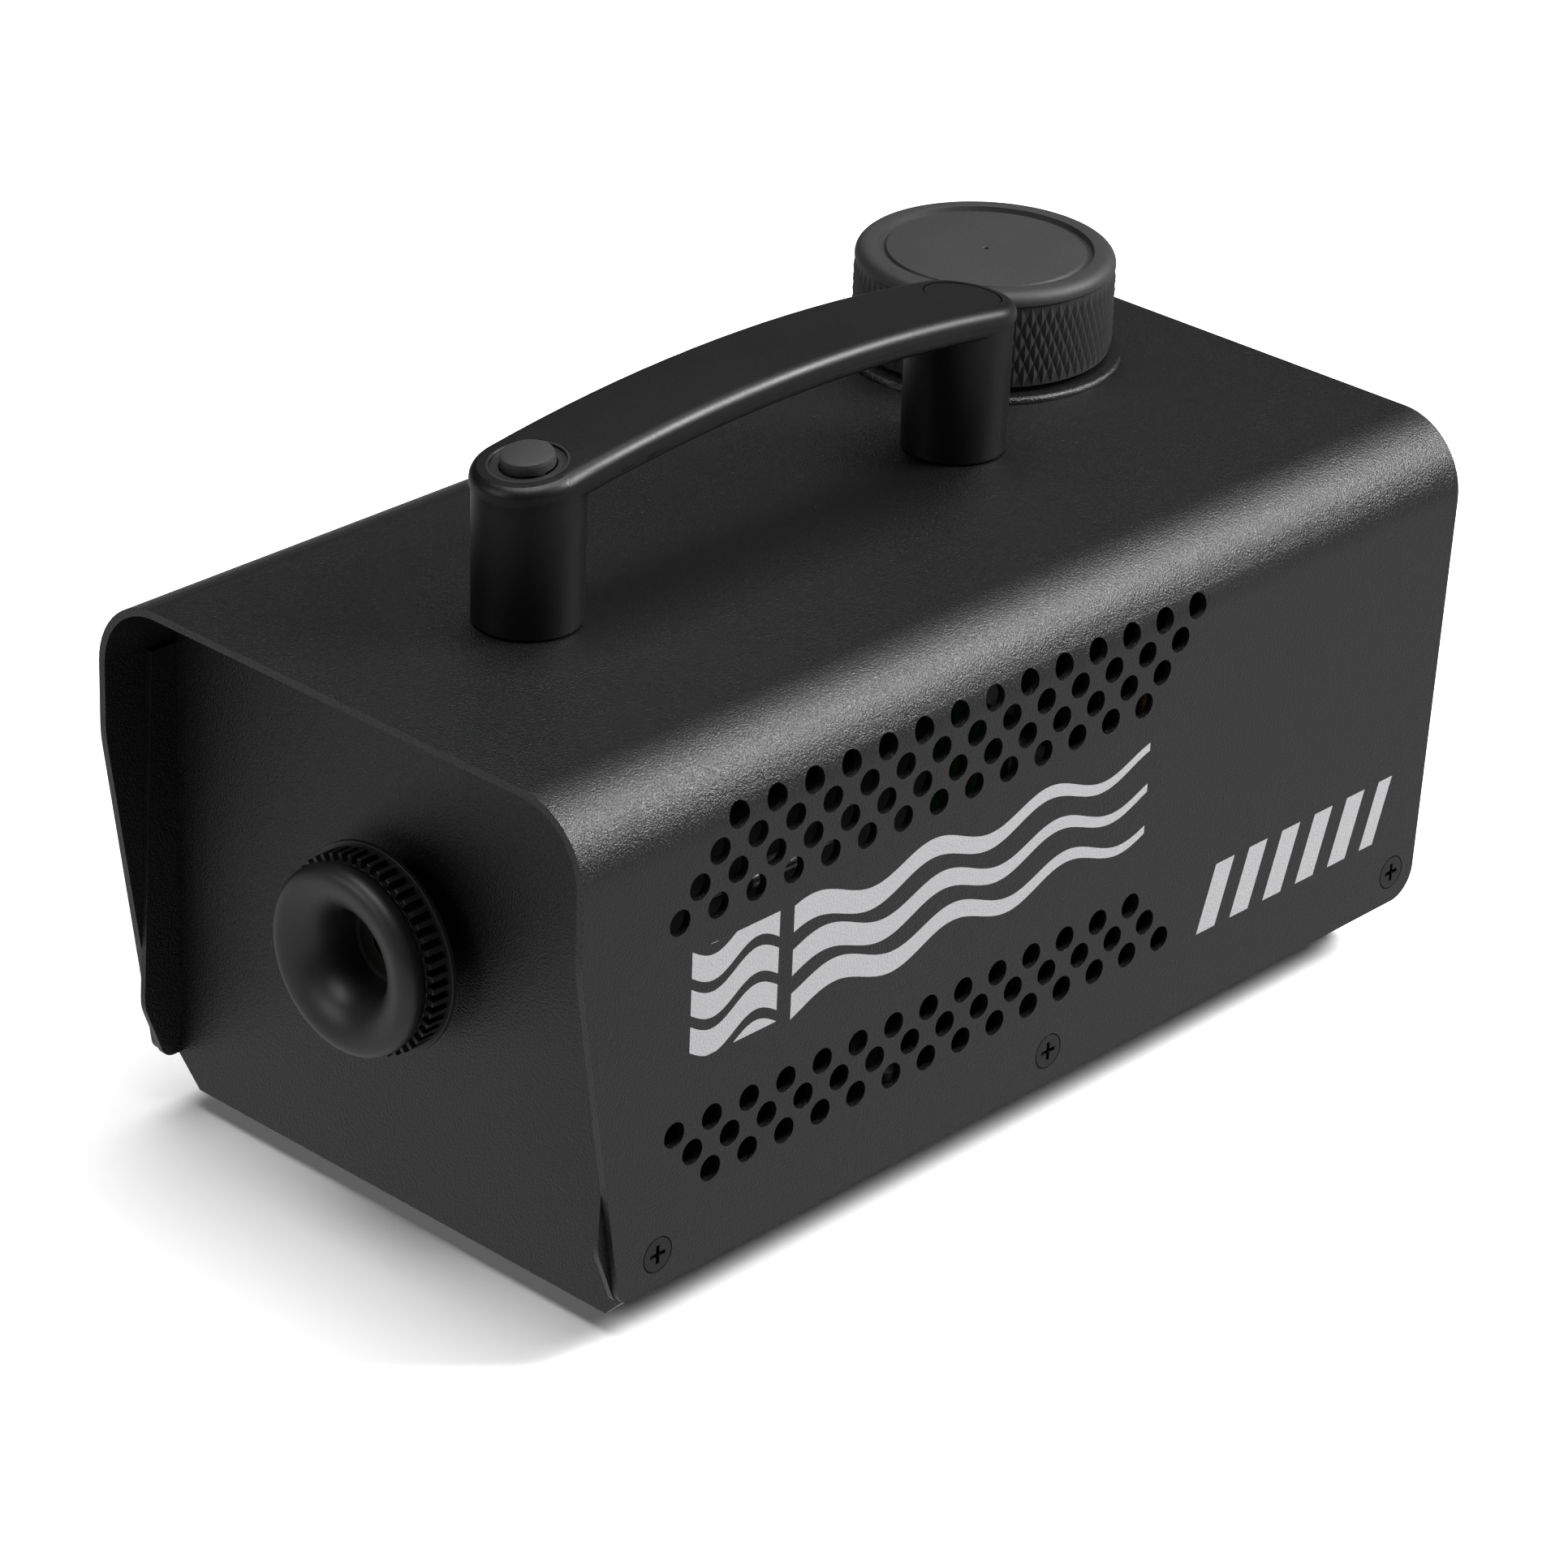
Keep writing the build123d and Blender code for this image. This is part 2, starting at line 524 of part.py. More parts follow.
def handle_base():
    """Lower half of the grip with its two posts, which stand on the cover."""
    grip = grip_plan(GRIP_HALF_WIDTH - 0.3) & arched_layer(-GRIP_DEPTH, 0)
    low = grip.edges().filter_by(lambda e: e.center().Z < arch_z(e.center().Y) - GRIP_DEPTH * 0.8)
    grip = fillet(low, 2.4)
    shape = grip
    for y in (POST_FRONT_Y, POST_REAR_Y):
        height = arch_z(y) - TOP_Z + 2
        post = turned([(0, 0), (POST_BASE_RADIUS - 0.5, 0), (POST_BASE_RADIUS, 0.5),
                       (POST_TOP_RADIUS - 0.1, height), (0, height)], (0, y, TOP_Z), (0, 0, 1))
        shape += post & arched_layer(-2 * SEAM_RISE, 0)
    shape -= grip_plan(GRIP_HALF_WIDTH - 4) & arched_layer(-1.2, 0.5)
    shape -= grip_tool(POST_FRONT_Y, SWITCH_CAN_RADIUS + 0.1, -SWITCH_CAN_LENGTH - 1, 2)
    shape -= Pos(0, POST_FRONT_Y + 5.5, TOP_Z) * Cylinder(1.6, 2 * SEAM_RISE)
    for y in (POST_FRONT_Y, POST_REAR_Y):
        shape -= rod((0, y, TOP_Z - 1), (0, y, TOP_Z + 9), HANDLE_SCREW_RADIUS)
    return shape


def trigger_switch():
    """Sealed push switch in the front post, with two solder tags below."""
    can = grip_tool(POST_FRONT_Y, SWITCH_CAN_RADIUS, -SWITCH_CAN_LENGTH, 0.5)
    can -= grip_tool(POST_FRONT_Y, 3.1, -6, 1)
    tag = Pos(0, POST_FRONT_Y, arch_z(POST_FRONT_Y)) * Rot(-arch_slope(POST_FRONT_Y), 0, 0)
    for side in (-1, 1):
        can += tag * Pos(side * 2.5, 1.2, -SWITCH_CAN_LENGTH - 0.4) * Box(1.6, 0.5, 1.2)
    return can


def trigger_bezel():
    """Ring that holds the switch in the grip, its floor a little below the surface."""
    floor = SHELL_CROWN - BEZEL_DEPTH
    body = grip_tool(POST_FRONT_Y, BEZEL_RADIUS, 0.5, SHELL_CROWN - 0.1)
    body -= grip_tool(POST_FRONT_Y, BEZEL_RADIUS - 0.6, floor, SHELL_CROWN + 1)
    return body - grip_tool(POST_FRONT_Y, BUTTON_RADIUS + 0.3, 0, SHELL_CROWN)


def trigger_button():
    """Push button: a slightly tapered cap on a thin plunger."""
    floor = SHELL_CROWN - BEZEL_DEPTH
    lean = radians(arch_slope(POST_FRONT_Y))
    axis = (0, sin(lean), cos(lean))
    seam = (0, POST_FRONT_Y, arch_z(POST_FRONT_Y))
    base = 0.55 + BUTTON_TRAVEL
    top = floor + BUTTON_RISE
    return turned([(0, base - 5), (2.9, base - 5), (2.9, base), (BUTTON_RADIUS + 0.1, base),
                   (BUTTON_RADIUS, top - 0.7), (BUTTON_RADIUS - 0.2, top - 0.2),
                   (BUTTON_RADIUS - 0.7, top), (0, top)], seam, axis)


def handle_plug():
    """Flush disc over the rear post's screw."""
    return grip_tool(POST_REAR_Y, BEZEL_RADIUS - 0.25, SHELL_CROWN - PLUG_THICKNESS, SHELL_CROWN - 0.15)


def handle_screws():
    under = TOP_Z - COVER_SHEET
    screws = [pan_screw((0, y, under), (0, 0, 1), 4.0, HANDLE_SCREW_RADIUS - 0.02, 9.0)
              for y in (POST_FRONT_Y, POST_REAR_Y)]
    return Compound(children=screws)


# ---- tank ---------------------------------------------------------------------------------
def tank():
    width, depth, height = TANK_BOX
    place = Pos(TANK_X, TANK_Y, TANK_FLOOR_Z + height / 2)
    outer = fillet(Box(width, depth, height).edges(), TANK_ROUND)
    inner = fillet(Box(width - 2 * TANK_WALL, depth - 2 * TANK_WALL, height - 2 * TANK_WALL).edges(),
                   TANK_ROUND - TANK_WALL)
    top = TOP_Z + NECK_RISE
    neck_low = TANK_FLOOR_Z + height - 3
    neck = rod((TANK_X, TANK_Y, neck_low), (TANK_X, TANK_Y, top), NECK_RADIUS)
    bore = rod((TANK_X, TANK_Y, neck_low - 3), (TANK_X, TANK_Y, top + 1), NECK_RADIUS - NECK_WALL)
    spout = TANK_X + width / 2
    outlet = rod((spout - 3, PUMP_Y, HOSE_Z), (spout + SPOUT_LENGTH, PUMP_Y, HOSE_Z),
                 HOSE_BORE - 0.05)
    drain = rod((spout - 5, PUMP_Y, HOSE_Z), (spout + 8, PUMP_Y, HOSE_Z), 0.8)
    return place * outer + neck + outlet - place * inner - bore - drain


def tank_cap():
    low = TOP_Z + CAP_BASE_RISE
    rise = CAP_TOP_RISE - CAP_BASE_RISE
    body = turned([(0, 0), (CAP_RADIUS, 0), (CAP_RADIUS, rise), (0, rise)],
                  (TANK_X, TANK_Y, low), (0, 0, 1))
    body = fillet(body.edges().sort_by(Axis.Z)[-1:], CAP_ROUND)
    inside = NECK_RISE + LINER_THICKNESS - CAP_BASE_RISE
    body -= Pos(TANK_X, TANK_Y, low) * Cylinder(
        CAP_BORE, inside, align=(Align.CENTER, Align.CENTER, Align.MIN))
    dish = turned([(0, rise - CAP_DISH), (CAP_DISC, rise - CAP_DISH), (CAP_RIM, rise), (CAP_RIM, rise + 1),
                   (0, rise + 1)], (TANK_X, TANK_Y, low), (0, 0, 1))
    return body - dish


def cap_liner():
    """Soft disc that seals the cap on the neck."""
    return rod((TANK_X, TANK_Y, TOP_Z + NECK_RISE), (TANK_X, TANK_Y, TOP_Z + NECK_RISE + LINER_THICKNESS),
               CAP_BORE - 0.5)


def tank_strap():
    """Angle on the tray that keeps the tank from sliding forward."""
    width, depth, height = TANK_BOX
    low_x = TANK_X - width / 2
    high_x = TANK_X + width / 2
    front = TANK_Y - depth / 2
    floor = CHASSIS_Z + TRAY_SHEET
    wall = box((low_x + 8, front - 1.2, floor), (high_x - 8, front, TANK_FLOOR_Z + 26))
    foot = box((low_x + 8, front - 12, floor), (high_x - 8, front, floor + 1.2))
    return wall + foot


def tank_cushion():
    """Foam pad between the tank and the tray."""
    width, depth, _ = TANK_BOX
    return box((TANK_X - width / 2 + 9, TANK_Y - depth / 2 + 16, CHASSIS_Z + TRAY_SHEET),
               (TANK_X + width / 2 - 9, TANK_Y + depth / 2 - 16, TANK_FLOOR_Z))


# ---- pump ---------------------------------------------------------------------------------
def pump_yoke():
    """Steel frame bent round the coil."""
    width, depth, height = YOKE_BOX
    half = depth / 2 - 4
    outer = box((PUMP_X - width / 2, PUMP_Y - half, PUMP_FLOOR_Z),
                (PUMP_X + width / 2, PUMP_Y + half, PUMP_TOP_Z))
    inner = box((PUMP_X - width / 2 + YOKE_SHEET, PUMP_Y - depth, PUMP_FLOOR_Z + YOKE_SHEET),
                (PUMP_X + width / 2 - YOKE_SHEET, PUMP_Y + depth, PUMP_TOP_Z - YOKE_SHEET))
    bore = rod((PUMP_X, PUMP_Y, PUMP_FLOOR_Z - 1), (PUMP_X, PUMP_Y, PUMP_TOP_Z + 1), BARREL_RADIUS)
    return outer - inner - bore


def pump_coil():
    """Moulded coil between the frame's two ends."""
    width, depth = COIL_SIZE
    low = PUMP_FLOOR_Z + YOKE_SHEET
    high = PUMP_TOP_Z - YOKE_SHEET
    body = box((PUMP_X - width / 2, PUMP_Y - depth / 2, low),
               (PUMP_X + width / 2, PUMP_Y + depth / 2, high))
    body = fillet(body.edges().filter_by(Axis.Z), 6.0)
    return body - rod((PUMP_X, PUMP_Y, low - 1), (PUMP_X, PUMP_Y, high + 1), BARREL_RADIUS)


def pump_barrel():
    """Tube through the coil, with the inlet stub below and the outlet stub above."""
    wall = ring((PUMP_X, PUMP_Y, BARREL_LOW_Z), (0, 0, 1), BARREL_RADIUS, BARREL_BORE,
                BARREL_TOP_Z - BARREL_LOW_Z)
    floor = rod((PUMP_X, PUMP_Y, BARREL_LOW_Z - 3), (PUMP_X, PUMP_Y, BARREL_LOW_Z), BARREL_RADIUS)
    lid = rod((PUMP_X, PUMP_Y, BARREL_TOP_Z), (PUMP_X, PUMP_Y, BARREL_TOP_Z + 3), BARREL_RADIUS)
    outlet = rod((PUMP_X, PUMP_Y, BARREL_TOP_Z), (PUMP_X, PUMP_Y, BARREL_TOP_Z + 8), PIPE_RADIUS + 1.2)
    outlet -= rod((PUMP_X, PUMP_Y, BARREL_TOP_Z + 3), (PUMP_X, PUMP_Y, BARREL_TOP_Z + 9), PIPE_RADIUS)
    return wall + floor + lid + outlet


def pump_inlet():
    """Elbow block under the frame, with a stub for the suction hose."""
    left = PUMP_X - YOKE_BOX[0] / 2
    face = left - INLET_BLOCK
    block = box((face, PUMP_Y - 5, HOSE_Z - 5), (left, PUMP_Y + 5, HOSE_Z + 5))
    stub = rod((face - SPOUT_LENGTH, PUMP_Y, HOSE_Z), (face + 1, PUMP_Y, HOSE_Z), HOSE_BORE - 0.05)
    return block + stub - rod((face - 9, PUMP_Y, HOSE_Z), (left - 1, PUMP_Y, HOSE_Z), 0.8)


def pump_piston():
    """Steel piston that the coil shakes up and down."""
    low = PUMP_FLOOR_Z + 12
    body = rod((PUMP_X, PUMP_Y, low), (PUMP_X, PUMP_Y, low + PISTON_LENGTH), PISTON_RADIUS)
    return body - rod((PUMP_X, PUMP_Y, low - 1), (PUMP_X, PUMP_Y, low + PISTON_LENGTH + 1), 1.5)


def pump_spring():
    """Return spring between the barrel's floor and the piston."""
    low = BARREL_LOW_Z
    height = PUMP_FLOOR_Z + 12 - low
    wire = SPRING_WIRE / 2
    coil = PISTON_RADIUS - 1.2
    pitch = (height - SPRING_WIRE - 0.02) / SPRING_TURNS
    path = Pos(PUMP_X, PUMP_Y, low + wire + 0.01) * Helix(pitch, pitch * SPRING_TURNS, coil)
    section = Plane(origin=path @ 0, z_dir=path % 0) * Circle(wire)
    return sweep(section, path=path)


def pump_bracket():
    """Angle that carries the pump, with two rubber bushes' holes."""
    width, depth, _ = YOKE_BOX
    floor = CHASSIS_Z + TRAY_SHEET
    right = PUMP_X + width / 2
    wall = box((right, PUMP_Y - 11, floor), (right + 1.5, PUMP_Y + 11, PUMP_TOP_Z - 6))
    foot = box((right - 14, PUMP_Y - 22, floor), (right + 1.5, PUMP_Y - 11, floor + 1.5))
    web = box((right - 1.5, PUMP_Y - 12.5, floor), (right + 1.5, PUMP_Y - 11, PUMP_FLOOR_Z + 8))
    return wall + foot + web


def suction_hose():
    """Silicone hose from the tank's spout to the pump."""
    start = TANK_X + TANK_BOX[0] / 2 + 0.6
    end = PUMP_X - YOKE_BOX[0] / 2 - INLET_BLOCK - 0.2
    return ring((start, PUMP_Y, HOSE_Z), (1, 0, 0), HOSE_RADIUS, HOSE_BORE, end - start)


def pressure_pipe():
    """Metal pipe from the pump, over the board and into the back of the heater."""
    route = FilletPolyline((PUMP_X, PUMP_Y, BARREL_TOP_Z + 3.2), (PUMP_X, PUMP_Y, PIPE_CREST_Z),
                           (PIPE_ENTRY_X, BOARD_Y - 9, PIPE_CREST_Z),
                           (PIPE_ENTRY_X, BOARD_Y - 9, NOZZLE_Z + 8),
                           (PIPE_ENTRY_X, HEATER_Y + HEATER_BOX[1] / 2, NOZZLE_Z + 8), radius=6.0)
    section = Plane(origin=route @ 0, z_dir=route % 0) * Circle(PIPE_RADIUS)
    return sweep(section, path=route)


# ---- heater -------------------------------------------------------------------------------
def heater_limits(grow):
    """Lowest and highest corner of the heater's block, grown on its four long sides."""
    width, depth, height = HEATER_BOX
    low = (-width / 2 - grow, HEATER_Y - depth / 2, NOZZLE_Z - height / 2 - grow)
    high = (width / 2 + grow, HEATER_Y + depth / 2, NOZZLE_Z + height / 2 + grow)
    return low, high


def heater_feet():
    """Places of the four screws that hold the heater's legs to the tray."""
    x = HEATER_BOX[0] / 2 + WOOL_THICKNESS + 5
    return [(side * x, HEATER_Y + end * HEATER_FOOT_SPREAD) for side in (-1, 1) for end in (-1, 1)]


def heater_block():
    """Cast block round the coiled boiler tube, with its two heater terminals behind."""
    body = box(*heater_limits(0))
    body = fillet(body.edges().filter_by(Axis.Y), 4.0)
    back = HEATER_Y + HEATER_BOX[1] / 2
    for x in (-14, -4):
        body += rod((x, back - 1, NOZZLE_Z - 8), (x, back + 9, NOZZLE_Z - 8), 2.2)
    return body


def heater_wool():
    """Mineral-wool wrap round the block."""
    outer = fillet(box(*heater_limits(WOOL_THICKNESS)).edges().filter_by(Axis.Y), 4.0 + WOOL_THICKNESS)
    inner = fillet(box(*heater_limits(0)).edges().filter_by(Axis.Y), 4.0)
    return outer - inner


def heater_shroud():
    """Folded sheet round the wool, on four legs."""
    radius = 4.0 + WOOL_THICKNESS
    outer = fillet(box(*heater_limits(WOOL_THICKNESS + SHROUD_SHEET)).edges().filter_by(Axis.Y),
                   radius + SHROUD_SHEET)
    inner = fillet(box(*heater_limits(WOOL_THICKNESS)).edges().filter_by(Axis.Y), radius)
    shape = outer - inner
    half = HEATER_BOX[0] / 2 + WOOL_THICKNESS
    floor = CHASSIS_Z + TRAY_SHEET
    for side in (-1, 1):
        for y in (HEATER_Y - HEATER_FOOT_SPREAD, HEATER_Y + HEATER_FOOT_SPREAD):
            inside, outside = sorted((side * half, side * (half + SHROUD_SHEET)))
            shape += box((inside, y - 6, floor), (outside, y + 6, NOZZLE_Z))
            inside, outside = sorted((side * half, side * (half + 9)))
            shape += box((inside, y - 6, floor), (outside, y + 6, floor + SHROUD_SHEET))
    for x, y in heater_feet():
        shape -= Pos(x, y, floor) * Cylinder(HEATER_SCREW_RADIUS, 4)
    return shape


def heater_screws():
    floor = CHASSIS_Z + TRAY_SHEET + SHROUD_SHEET
    length = SHROUD_SHEET + TRAY_SHEET
    screws = [pan_screw((x, y, floor), (0, 0, -1), 2.4, HEATER_SCREW_RADIUS - 0.02, length)
              for x, y in heater_feet()]
    return Compound(children=screws)


def thermostat():
    """Bimetal thermostat on top of the heater, with two blade tags."""
    base = NOZZLE_Z + HEATER_BOX[2] / 2 + WOOL_THICKNESS + SHROUD_SHEET
    centre = (0, HEATER_Y, base)
    body = turned([(0, 0), (THERMOSTAT_RADIUS, 0), (THERMOSTAT_RADIUS, 2), (8.0, 2), (8.0, 9), (0, 9)],
                  centre, (0, 0, 1))
    for side in (-1, 1):
        body += box((side * 5 - 3.1, HEATER_Y - 0.4, base + 8.5),
                    (side * 5 + 3.1, HEATER_Y + 0.4, base + 15))
    return body


def thermal_fuse():
    """Thermal cut-out clipped to the side of the shroud."""
    x = HEATER_BOX[0] / 2 + WOOL_THICKNESS + SHROUD_SHEET + 2.1
    body = rod((x, HEATER_Y - 6, NOZZLE_Z + 4), (x, HEATER_Y + 6, NOZZLE_Z + 4), 2.1)
    return body + rod((x, HEATER_Y - 16, NOZZLE_Z + 4), (x, HEATER_Y + 16, NOZZLE_Z + 4), 0.6)


# ---- control board ------------------------------------------------------------------------
def board_limits():
    width, thick, height = BOARD_BOX
    return (-width / 2, BOARD_Y - thick / 2, BOARD_Z), (width / 2, BOARD_Y + thick / 2, BOARD_Z + height)


def control_board():
    """Bare board with four fixing holes."""
    low, high = board_limits()
    shape = box(low, high)
    for x in (low[0] + 5, high[0] - 5):
        for z in (low[2] + 5, high[2] - 5):
            shape -= rod((x, low[1] - 1, z), (x, high[1] + 1, z), 1.6)
    return shape


def board_parts():
    """Relay, terminal block, smoothing capacitor, resistor and driver on the board."""
    face = BOARD_Y + BOARD_BOX[1] / 2
    relay = box((-32, face, 20), (-13, face + 15, 36))
    terminals = box((-34, face, 48), (2, face + 10, 58))
    for index in range(4):
        x = -30 + index * 9
        terminals -= rod((x, face + 9, 53), (x, face + 11, 53), 2.4)
    capacitor = rod((20, face, 30), (20, face + 13, 30), 6)
    driver = box((8, face, 48), (18, face + 4.5, 62))
    resistor = rod((24, face + 2.5, 46), (36, face + 2.5, 46), 2.5)
    return Compound(children=[relay, terminals, capacitor, driver, resistor])


def board_bracket():
    """Two angles and four spacers that stand the board on the tray."""
    low, high = board_limits()
    floor = CHASSIS_Z + TRAY_SHEET
    pieces = []
    for x in (low[0] + 5, high[0] - 5):
        upright = box((x - 4.5, BOARD_Y - 6.0, floor), (x + 4.5, BOARD_Y - 4.8, high[2]))
        foot = box((x - 4.5, BOARD_Y - 15, floor), (x + 4.5, BOARD_Y - 4.8, floor + 1.2))
        angle = upright + foot
        for z in (low[2] + 5, high[2] - 5):
            angle += rod((x, BOARD_Y - 4.8, z), (x, low[1], z), 2.6)
            angle -= rod((x, BOARD_Y - 7, z), (x, BOARD_Y, z), 1.25)
        pieces.append(angle)
    return Compound(children=pieces)


def board_screws():
    low, high = board_limits()
    screws = [pan_screw((x, high[1], z), (0, -1, 0), 2.6, 1.22, 5.5)
              for x in (low[0] + 5, high[0] - 5) for z in (low[2] + 5, high[2] - 5)]
    return Compound(children=screws)


# ---- mains side ---------------------------------------------------------------------------
def mains_inlet():
    """Chassis inlet: a recessed socket below a slot for the fuse drawer."""
    face = REAR_PANEL_Y + 3.0
    flange = front_view(Pos(INLET_X, INLET_Z) * RectangleRounded(*INLET_FLANGE, 3), REAR_PANEL_Y, face)
    body = front_view(Pos(INLET_X, INLET_Z) * Rectangle(*INLET_BODY), REAR_PANEL_Y - 20, REAR_PANEL_Y)
    socket = Pos(INLET_X, SOCKET_Z) * Rectangle(*SOCKET_SIZE)
    socket = chamfer(socket.vertices().sort_by(Axis.Y)[-2:], 4.0)
    shape = flange + body - front_view(socket, face - SOCKET_DEPTH, face + 1)
    shape -= box((INLET_X - DRAWER_HALF - 0.15, face - DRAWER_DEPTH - 0.3, DRAWER_Z - DRAWER_HEIGHT / 2 - 0.15),
                 (INLET_X + DRAWER_HALF + 0.15, face + 1, DRAWER_Z + DRAWER_HEIGHT / 2 + 0.15))
    for side in (-1, 1):
        x = INLET_X + side * INLET_SCREW_SPACING / 2
        shape -= turned([(0, -1), (3.3, -1), (3.3, 0.2), (1.6, 1.9), (1.6, 6), (0, 6)],
                        (x, face, INLET_Z), (0, -1, 0))
    return shape - inlet_pins()


def inlet_pins():
    """Three contact blades: earth above, live and neutral below."""
    pins = []
    for x, z in ((-PIN_SPACING, -PIN_RISE), (0, PIN_RISE), (PIN_SPACING, -PIN_RISE)):
        pins.append(box((INLET_X + x - PIN_THICKNESS / 2, REAR_PANEL_Y - 27, SOCKET_Z + z - PIN_WIDTH / 2),
                        (INLET_X + x + PIN_THICKNESS / 2, REAR_PANEL_Y + 1.5, SOCKET_Z + z + PIN_WIDTH / 2)))
    return Compound(children=pins)


def fuse_drawer():
    """Sliding drawer that carries the fuse, with a finger lip outside."""
    face = REAR_PANEL_Y + 3.0
    low = (INLET_X - DRAWER_HALF, face - DRAWER_DEPTH, DRAWER_Z - DRAWER_HEIGHT / 2)
    high = (INLET_X + DRAWER_HALF, face, DRAWER_Z + DRAWER_HEIGHT / 2)
    shape = box(low, high)
    shape -= box((INLET_X - 10.2, face - DRAWER_DEPTH + 1.5, DRAWER_Z - 2.7),
                 (INLET_X + 10.2, face - 3.0, DRAWER_Z + DRAWER_HEIGHT))
    lip = box((INLET_X - 4, face, DRAWER_Z + 1.2), (INLET_X + 4, face + 1.4, DRAWER_Z + 2.8))
    return shape + lip


def fuse():
    """Glass fuse, 5 by 20."""
    y = REAR_PANEL_Y + 3.0 - DRAWER_DEPTH + 8.0
    return rod((INLET_X - 10.0, y, DRAWER_Z - 0.15), (INLET_X + 10.0, y, DRAWER_Z - 0.15), 2.5)


def inlet_screws():
    face = REAR_PANEL_Y + 3.0
    screws = [cross_screw((INLET_X + side * INLET_SCREW_SPACING / 2, face, INLET_Z), (0, -1, 0),
                          3.0, 1.48, 9.0) for side in (-1, 1)]
    return Compound(children=screws)


def power_switch():
    """Rocker switch housing, clipped into the rear panel."""
    face = REAR_PANEL_Y + 2.0
    flange = front_view(Pos(INLET_X, SWITCH_Z) * RectangleRounded(*SWITCH_FLANGE, 1.5), REAR_PANEL_Y, face)
    body = front_view(Pos(INLET_X, SWITCH_Z) * Rectangle(*SWITCH_BODY), REAR_PANEL_Y - 14, REAR_PANEL_Y)
    well = box((INLET_X - 7.0, REAR_PANEL_Y - 8, SWITCH_Z - 5.4), (INLET_X + 7.0, face + 1, SWITCH_Z + 5.4))
    shape = flange + body - well
    for x in (-5, 5):
        shape += box((INLET_X + x - 0.4, REAR_PANEL_Y - 22, SWITCH_Z - 2.4),
                     (INLET_X + x + 0.4, REAR_PANEL_Y - 13.5, SWITCH_Z + 2.4))
    shape -= rod((INLET_X - 8.2, ROCKER_AXIS_Y, SWITCH_Z), (INLET_X + 8.2, ROCKER_AXIS_Y, SWITCH_Z), 0.85)
    return shape


def rocker():
    """Rocker, at rest leaning to the off side, on two moulded pivots."""
    plane = Plane(origin=(INLET_X - 6.8, 0, 0), x_dir=(0, 1, 0), z_dir=(1, 0, 0))
    y = ROCKER_AXIS_Y
    outline = Polyline((y - 3.5, SWITCH_Z - 2.6), (y + 3.2, SWITCH_Z - 4.8), (y + 3.9, SWITCH_Z),
                       (y + 3.2, SWITCH_Z + 4.8), (y - 3.5, SWITCH_Z + 2.6), close=True)
    body = extrude(plane * make_face(outline), amount=13.6)
    body = body.rotate(Axis((0, y, SWITCH_Z), (1, 0, 0)), -ROCKER_TILT)
    return body + rod((INLET_X - 8.1, y, SWITCH_Z), (INLET_X + 8.1, y, SWITCH_Z), 0.8)


def ready_lamp():
    """Small lens that lights when the heater is hot."""
    return turned([(0, 0), (LAMP_RADIUS - 0.05, 0), (LAMP_RADIUS - 0.05, 9), (LAMP_RADIUS + 0.9, 9),
                   (LAMP_RADIUS + 0.9, 10), (LAMP_RADIUS, 10), (LAMP_RADIUS - 0.8, 12), (0, 12.6)],
                  (INLET_X, REAR_PANEL_Y - 9, LAMP_Z), (0, 1, 0))


NODES = (top_cover, chassis, rear_panel, cover_screws, rear_panel_screws, rubber_feet, foot_screws,
         nozzle_stem, nozzle_bush, nozzle_ring, nozzle_bell,
         handle_shell, handle_base, trigger_switch, trigger_bezel, trigger_button, handle_plug,
         handle_screws, tank, tank_cap, cap_liner, tank_strap, tank_cushion,
         pump_yoke, pump_coil, pump_barrel, pump_inlet, pump_piston, pump_spring, pump_bracket,
         suction_hose, pressure_pipe, heater_block, heater_wool, heater_shroud, heater_screws,
         thermostat, thermal_fuse, control_board, board_parts, board_bracket, board_screws,
         mains_inlet, inlet_pins, fuse_drawer, fuse, inlet_screws, power_switch, rocker, ready_lamp)

os.makedirs("parts", exist_ok=True)
for make in NODES:
    export_step(make(), os.path.join("parts", make.__name__ + ".step"))
    print(make.__name__)
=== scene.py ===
import bpy
import bmesh
import json
from math import cos, pi, radians, sin
from mathutils import Matrix, Vector


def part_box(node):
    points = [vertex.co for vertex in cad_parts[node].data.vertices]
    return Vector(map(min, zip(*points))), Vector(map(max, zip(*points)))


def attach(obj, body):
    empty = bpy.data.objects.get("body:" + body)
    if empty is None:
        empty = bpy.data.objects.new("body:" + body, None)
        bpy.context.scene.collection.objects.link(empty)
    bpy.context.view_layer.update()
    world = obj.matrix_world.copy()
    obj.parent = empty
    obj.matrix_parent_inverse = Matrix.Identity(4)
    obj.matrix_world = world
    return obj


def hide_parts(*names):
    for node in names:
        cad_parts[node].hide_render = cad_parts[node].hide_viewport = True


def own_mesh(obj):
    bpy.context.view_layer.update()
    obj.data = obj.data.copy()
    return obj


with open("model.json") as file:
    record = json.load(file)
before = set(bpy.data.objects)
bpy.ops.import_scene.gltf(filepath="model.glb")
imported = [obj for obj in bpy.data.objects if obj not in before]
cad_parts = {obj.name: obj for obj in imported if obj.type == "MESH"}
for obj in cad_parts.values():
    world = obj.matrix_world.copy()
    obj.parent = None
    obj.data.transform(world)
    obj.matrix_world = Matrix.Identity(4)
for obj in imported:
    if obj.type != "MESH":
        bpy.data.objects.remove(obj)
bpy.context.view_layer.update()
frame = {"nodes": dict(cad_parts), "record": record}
mm = 0.001
print("frame loaded")


